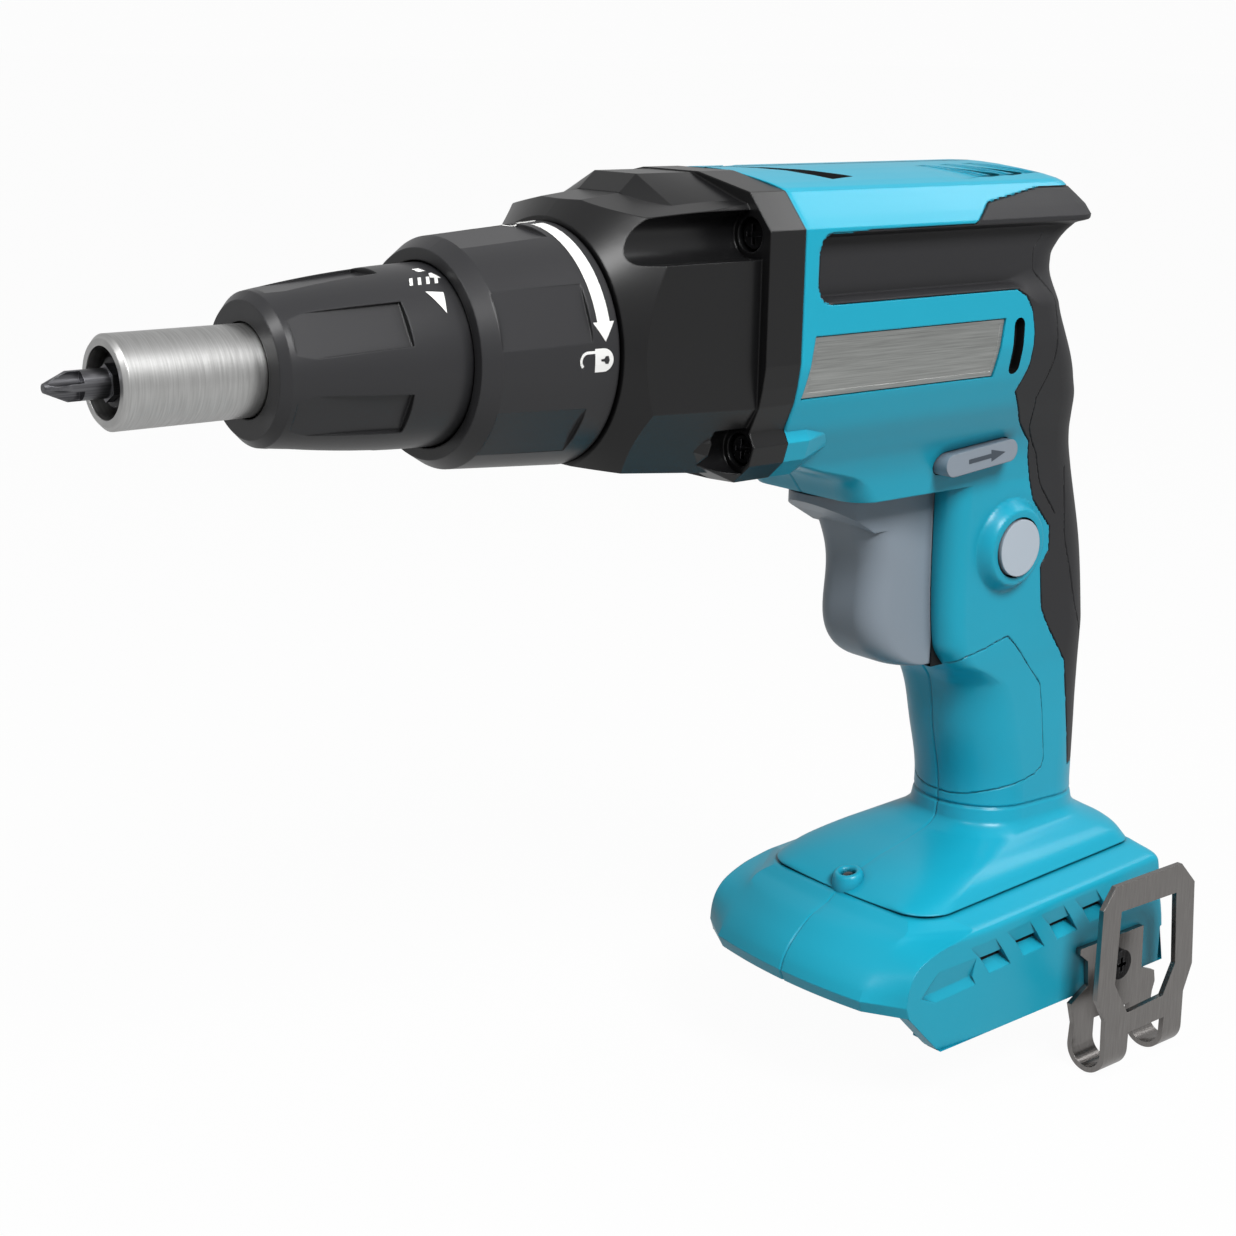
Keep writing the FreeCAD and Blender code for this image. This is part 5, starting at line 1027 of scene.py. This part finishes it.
# printed marks, wrapped on the turning rings; angles go from the top round the left side
marks = {
    "lift": 0.07, "keyholeLift": 0.12,  # mm above the surface
    "ringRadius": 26.1, "collarRadius": 18.6,
    "arrow": {"x": (98.5, 101.6), "start": 5.0, "end": 73.0, "tip": 82.0, "head": (97.4, 102.7)},
    "padlockOpen": {"x": 97.3, "angle": 90.3, "open": True},
    "padlockShut": {"x": 98.3, "angle": -6.0, "open": False},
    "padlock": {"long": 4.6, "half": 2.45, "bow": 3.5, "bowHalf": 1.75, "stroke": 0.62,
                "keyhole": [(1.5, 0.22), (2.3, 0.3), (2.6, 0.8), (3.3, 0.8), (3.6, 0.0)]},
    "ticks": {"x": 62.0, "angle": 30.0, "count": 4, "step": 2.0, "wide": 0.8, "tall": 2.3, "slant": 1.2},
    "square": [(66.0, 15.6), (67.8, 15.0), (68.6, 19.6), (66.8, 20.2)],
    "flag": [(68.6, 22.6), (69.4, 22.4), (70.4, 28.8), (68.0, 27.6)],
    "pointer": [(64.6, 39.6), (68.6, 41.4), (67.2, 56.5)],
}


def degreesPerMm(radius):
    return math.degrees(1 / radius)


def surfaceOf(node):
    bm = bmesh.new()
    bm.from_mesh(nodes[node].data)
    bm.transform(nodes[node].matrix_world)
    tree = BVHTree.FromBMesh(bm)
    bm.free()
    return tree


def wrapPoint(tree, x, angle, lift):
    # point just above a turned surface, found from outside towards the axis
    out = Vector((0.0, -math.sin(math.radians(angle)), math.cos(math.radians(angle))))
    hit = tree.ray_cast(Vector((x * mm, 0, 0)) + out * 0.06, -out)[0]
    return hit + out * lift * mm


def fillOutline(bm, outline, step):
    # flat outline in (x, degrees), cut into small cells so that it follows a round surface
    bm.faces.new([bm.verts.new((x, angle, 0)) for x, angle in outline])
    for axis in (0, 1):
        low, high = (f(p[axis] for p in outline) for f in (min, max))
        count = int((high - low) / step[axis])
        for i in range(1, count + 1):
            at = [0.0, 0.0, 0.0]
            at[axis] = low + (high - low) * i / (count + 1)
            direction = [1.0 if k == axis else 0.0 for k in range(3)]
            faces = [f for f in bm.faces if f.is_valid]
            bmesh.ops.bisect_plane(bm, geom=faceGeom(faces), dist=1e-6, plane_co=at, plane_no=direction)


def wrapMesh(item, tree, lift):
    for vert in item.data.vertices:
        vert.co = wrapPoint(tree, vert.co.x, vert.co.y, lift)
    bm = bmesh.new()
    bm.from_mesh(item.data)
    bm.normal_update()
    for face in bm.faces:
        spot = face.calc_center_median()
        if face.normal.dot(Vector((0, spot.y, spot.z))) < 0:
            face.normal_flip()
    bm.to_mesh(item.data)
    bm.free()
    item.data.update()


def printMark(name, outlines, tree, body, finish="whitePrint", lift=marks["lift"]):
    bm = bmesh.new()
    for outline in outlines:
        part = bmesh.new()
        fillOutline(part, outline, (1.0, 2.0))
        mesh = bpy.data.meshes.new("part")
        part.to_mesh(mesh)
        part.free()
        bm.from_mesh(mesh)
        bpy.data.meshes.remove(mesh)
    item = meshObject(name, [], [], finishes[finish])
    bm.to_mesh(item.data)
    bm.free()
    wrapMesh(item, tree, lift)
    place(item, body)


def padlockOutlines(setting, perMm):
    # body with a round end, and the bow as short strokes; perMm is degrees per millimetre round the ring
    lock = marks["padlock"]
    x, angle = setting["x"], setting["angle"]
    half, long, bowHalf, stroke = lock["half"], lock["long"], lock["bowHalf"], lock["stroke"]
    body = [(x, angle + half * perMm), (x, angle - half * perMm)]
    for i in range(13):
        turn = -math.pi / 2 + math.pi * i / 12
        body.append((x + long - half + half * math.cos(turn), angle + half * math.sin(turn) * perMm))
    strokes = []
    last = 9 if setting["open"] else 12
    centre = x - lock["bow"] + bowHalf
    line = [(x, -bowHalf)]
    for i in range(last + 1):
        turn = math.pi * i / 12
        line.append((centre - bowHalf * math.sin(turn), -bowHalf * math.cos(turn)))
    if not setting["open"]:
        line.append((x, bowHalf))
    for (ax, ay), (bx, by) in zip(line, line[1:]):
        run = math.hypot(bx - ax, by - ay)
        px, py = -(by - ay) / run * stroke / 2, (bx - ax) / run * stroke / 2
        strokes.append([(ax + px, angle + (ay + py) * perMm), (bx + px, angle + (by + py) * perMm),
                        (bx - px, angle + (by - py) * perMm), (ax - px, angle + (ay - py) * perMm)])
    shaft = lock["keyhole"]
    rim = [(x + a, angle - b * perMm) for a, b in shaft]
    keyhole = rim + [(x + a, angle + b * perMm) for a, b in shaft[-2::-1]]
    return [body] + strokes, keyhole


def tickTree():
    # geometry nodes: a stamp repeated along x
    tree = bpy.data.node_groups.new("tickRow", "GeometryNodeTree")
    sockets = tree.interface
    sockets.new_socket("Geometry", in_out="INPUT", socket_type="NodeSocketGeometry")
    count = sockets.new_socket("Count", in_out="INPUT", socket_type="NodeSocketInt")
    step = sockets.new_socket("Step", in_out="INPUT", socket_type="NodeSocketVector")
    finish = sockets.new_socket("Finish", in_out="INPUT", socket_type="NodeSocketMaterial")
    sockets.new_socket("Geometry", in_out="OUTPUT", socket_type="NodeSocketGeometry")
    source = addNode(tree, "NodeGroupInput")
    row = addNode(tree, "GeometryNodeMeshLine", {
        "Count": source.outputs["Count"], "Offset": source.outputs["Step"]})
    stamps = addNode(tree, "GeometryNodeInstanceOnPoints", {
        "Points": row.outputs["Mesh"], "Instance": source.outputs["Geometry"]})
    solid = addNode(tree, "GeometryNodeRealizeInstances", {"Geometry": stamps.outputs["Instances"]})
    painted = addNode(tree, "GeometryNodeSetMaterial", {
        "Geometry": solid.outputs["Geometry"], "Material": source.outputs["Finish"]})
    addNode(tree, "NodeGroupOutput", {"Geometry": painted.outputs["Geometry"]})
    return tree, {"count": count.identifier, "step": step.identifier, "finish": finish.identifier}


def makeTicks(tree):
    tick = marks["ticks"]
    perMm = degreesPerMm(marks["collarRadius"])
    x, wide, slant = tick["x"], tick["wide"], tick["slant"]
    half = tick["tall"] * perMm / 2
    low, high = tick["angle"] + half, tick["angle"] - half
    bm = bmesh.new()
    fillOutline(bm, [(x, low), (x + wide, low), (x + wide + slant, high), (x + slant, high)], (1.0, 2.0))
    stamp = meshObject("tick_stamp", [], [], finishes["whitePrint"])
    bm.to_mesh(stamp.data)
    bm.free()
    group, inputs = tickTree()
    repeat = stamp.modifiers.new("row", "NODES")
    repeat.node_group = group
    repeat[inputs["count"]] = tick["count"]
    repeat[inputs["step"]] = (tick["step"], 0.0, 0.0)
    repeat[inputs["finish"]] = finishes["whitePrint"]
    mesh = bpy.data.meshes.new_from_object(stamp.evaluated_get(bpy.context.evaluated_depsgraph_get()))
    stamp.modifiers.remove(repeat)
    bpy.data.objects.remove(stamp)
    mesh.name = "collar_ticks"
    item = bpy.data.objects.new("collar_ticks", mesh)
    scene.collection.objects.link(item)
    wrapMesh(item, tree, marks["lift"])
    place(item, "depth_collar")


def makeMarks():
    ring, collar = surfaceOf("lock_ring"), surfaceOf("depth_collar")
    arrow = marks["arrow"]
    (low, high), (headLow, headHigh) = arrow["x"], arrow["head"]
    band = [(low, arrow["end"]), (low, arrow["start"]), (high, arrow["start"]), (high, arrow["end"])]
    head = [(headLow, arrow["end"]), (headHigh, arrow["end"]), ((headLow + headHigh) / 2, arrow["tip"])]
    printMark("ring_arrow", [band, head], ring, "lock_ring")
    for name in ("padlockOpen", "padlockShut"):
        outlines, keyhole = padlockOutlines(marks[name], degreesPerMm(marks["ringRadius"]))
        printMark(name + "_print", outlines, ring, "lock_ring")
        printMark(name + "_keyhole", [keyhole], ring, "lock_ring", "greyNylon", marks["keyholeLift"])
    printMark("collar_marks", [marks["square"], marks["flag"], marks["pointer"]], collar, "depth_collar")
    makeTicks(collar)


makeMarks()


# flat arrow on each end of the reversing lever, painted darker grey as the shade of the sunk arrow
leverArrow = {"face": 25.2, "lift": 0.05, "x": 221.0, "z": -33.6, "tilt": 5.0,
              "outline": [(-5.0, -0.55), (3.2, -0.55), (3.2, -1.5), (8.4, 0.0), (3.2, 1.5), (3.2, 0.55),
                          (-5.0, 0.55)]}


def makeLeverArrow(side):
    sign = -1 if side == "left" else 1
    tilt = math.radians(leverArrow["tilt"])
    y = sign * (leverArrow["face"] + leverArrow["lift"])
    points = []
    for a, b in leverArrow["outline"]:
        x, z = a * math.cos(tilt) - b * math.sin(tilt), a * math.sin(tilt) + b * math.cos(tilt)
        points.append(Vector((leverArrow["x"] + x, y, leverArrow["z"] + z)) * mm)
    order = tuple(range(len(points)))
    face = order if side == "left" else order[::-1]
    item = meshObject("lever_arrow_" + side, points, [face], finishes["engravingShadeAbs"], False)
    place(item, "reverse_lever")


for side in ("left", "right"):
    makeLeverArrow(side)


# small domed lamp lens inside the ring
lampLens = {"radius": 1.85, "base": 1.6, "top": 3.5, "dome": 0.9, "rows": 5, "count": 28}


def makeLampLens():
    radius, top, dome = lampLens["radius"], lampLens["top"], lampLens["dome"]
    count, rows = lampLens["count"], lampLens["rows"]
    profile = [(radius, lampLens["base"])]
    for i in range(rows):
        turn = math.pi / 2 * i / rows
        profile.append((radius * math.cos(turn), top - dome + dome * math.sin(turn)))
    points, faces = turnProfile(profile, count)
    points.append(lampPoint(0.0, top, 0.0))
    last = (len(profile) - 1) * count
    faces += [(last + i, last + (i + 1) % count, len(points) - 1) for i in range(count)]
    item = meshObject("lamp_lens", points, faces, finishes["lampLens"])
    place(item, "tool_body")
    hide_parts("led_lens")


makeLampLens()
print("marks, lever arrows and lamp lens built")


# finish of every CAD piece that stays as it is
nodeFinish = {
    "caseNylon": ["gear_case"],
    "greyNylon": ["depth_collar", "lock_ring", "nose_tube"],
    "satinSteel": ["locator_tip"],
    "toolSteel": ["driver_bit", "motor_shaft", "motor_pinion", "drive_gear", "clutch_plate", "thrust_washer",
                  "gear_bearing", "motor_bearing_front", "motor_bearing_rear", "collar_snap_ring", "spindle"],
    "holderSteel": ["bit_holder"],
    "springWire": ["clutch_spring", "trigger_spring", "bit_magnet"],
    "screwBlack": ["gear_case_screws", "housing_screws", "clip_screw"],
    "bronze": ["spindle_bush"],
    "castAluminium": ["bearing_plate"],
    "coreSteel": ["stator_core", "rotor_core"],
    "copper": ["stator_coils", "terminal_blades"],
    "boardGreen": ["sensor_board", "controller_board"],
    "innerBlackAndShade": ["cooling_fan", "switch_body", "terminal_block"],
    "triggerAbs": ["trigger"],
    "buttonAbs": ["lock_button"],
    "leverAbs": ["reverse_lever"],
    "darkNickel": ["belt_clip"],
}
for finishName, members in nodeFinish.items():
    for member in members:
        for materialSlot in nodes[member].material_slots:
            materialSlot.material = finishes[finishName]
print("finishes set on", sum(len(m) for m in nodeFinish.values()), "CAD pieces")


# floor, light and camera
studio = {
    "floorDrop": 0.6 * mm, "floorSize": 60.0, "floorGrey": "#9A9A99",
    "floorGlow": 0.93, "floorStrength": 1.04,
    "ambient": 0.13, "backdrop": 0.975, "mirrored": 0.5,
    "aim": (0.15, 0.0, -0.03),
    # name, direction from the aim, distance, width, brightness it gives on a surface that faces it
    "lamps": [
        ("leftSoftbox", (-0.12, -0.70, 0.70), 1.25, 0.46, 1.06),
        ("frontSoftbox", (-0.66, -0.13, 0.74), 1.25, 0.26, 0.34),
        ("rearSoftbox", (0.72, -0.15, 0.65), 1.10, 0.26, 0.10),
    ],
}


pureWhite = (1.0, 1.0, 1.0, 1.0)


def lightPathWhite(tree):
    # full for rays from the camera or through glass, part for rays from a mirror-like surface
    path = addNode(tree, "ShaderNodeLightPath")
    mirrored = addNode(tree, "ShaderNodeMath", {0: path.outputs["Is Glossy Ray"], 1: studio["mirrored"]},
                       operation="MULTIPLY")
    seen = addNode(tree, "ShaderNodeMath", {0: path.outputs["Is Camera Ray"], 1: mirrored.outputs["Value"]},
                   operation="MAXIMUM")
    return addNode(tree, "ShaderNodeMath", {0: seen.outputs["Value"], 1: path.outputs["Is Transmission Ray"]},
                   operation="MAXIMUM").outputs["Value"]


def makeStudio():
    half = studio["floorSize"] / 2
    low = cadBox[0][2] - studio["floorDrop"]
    floorMaterial, tree, shader = newMaterial("Studio paper white")
    shader.inputs["Base Color"].default_value = hexToLinear(studio["floorGrey"])
    shader.inputs["Roughness"].default_value = 0.9
    shader.inputs["Specular IOR Level"].default_value = 0.1
    glow = addNode(tree, "ShaderNodeEmission", {"Color": pureWhite, "Strength": studio["floorStrength"]})
    share = addNode(tree, "ShaderNodeMath", {0: lightPathWhite(tree), 1: studio["floorGlow"]},
                    operation="MULTIPLY")
    both = addNode(tree, "ShaderNodeMixShader", {0: share.outputs["Value"], 1: shader.outputs["BSDF"],
                                                 2: glow.outputs["Emission"]})
    tree.links.new(both.outputs["Shader"], tree.nodes["Material Output"].inputs["Surface"])
    corners = [(-half, -half, low), (half, -half, low), (half, half, low), (-half, half, low)]
    floor = meshObject("studio_floor", corners, [(0, 1, 2, 3)], floorMaterial, smooth=False)
    world = bpy.data.worlds.new("Studio tent")
    scene.world = world
    world.use_nodes = True
    tree = world.node_tree
    dim = tree.nodes["Background"]
    dim.inputs["Color"].default_value = pureWhite
    dim.inputs["Strength"].default_value = studio["ambient"]
    white = addNode(tree, "ShaderNodeBackground", {"Color": pureWhite, "Strength": studio["backdrop"]})
    both = addNode(tree, "ShaderNodeMixShader", {0: lightPathWhite(tree), 1: dim.outputs["Background"],
                                                 2: white.outputs["Background"]})
    tree.links.new(both.outputs["Shader"], tree.nodes["World Output"].inputs["Surface"])
    aim = Vector(studio["aim"])
    for name, direction, distance, width, level in studio["lamps"]:
        spot = aim + Vector(direction).normalized() * distance
        lamp = bpy.data.lights.new(name, "AREA")
        lamp.shape = "SQUARE"
        lamp.size = width
        lamp.energy = level * (math.pi * distance) ** 2  # watts
        item = bpy.data.objects.new(name, lamp)
        turn = (aim - spot).to_track_quat("-Z", "Y").to_matrix().to_4x4()
        item.matrix_world = Matrix.Translation(spot) @ turn
        scene.collection.objects.link(item)
    scene.view_settings.view_transform = "Standard"


camera = {"place": (-0.1824, -0.3676, 0.0626), "yaw": -40.03, "pitch": 14.87, "roll": 1.10, "lens": 62.83}


def makeCamera():
    yaw, pitch, roll = (math.radians(camera[name]) for name in ("yaw", "pitch", "roll"))
    back = Vector((math.sin(yaw) * math.cos(pitch), -math.cos(yaw) * math.cos(pitch), math.sin(pitch)))
    level = Vector((math.cos(yaw), math.sin(yaw), 0))
    upright = back.cross(level)
    right = level * math.cos(roll) + upright * math.sin(roll)
    up = upright * math.cos(roll) - level * math.sin(roll)
    view = bpy.data.cameras.new("photoView")
    view.sensor_width = 36.0
    view.lens = camera["lens"]
    view.clip_start = 0.01
    item = bpy.data.objects.new("photoView", view)
    turn = Matrix((right, up, back)).transposed().to_4x4()
    item.matrix_world = Matrix.Translation(camera["place"]) @ turn
    scene.collection.objects.link(item)
    scene.camera = item


makeStudio()
makeCamera()
print("studio and camera set")
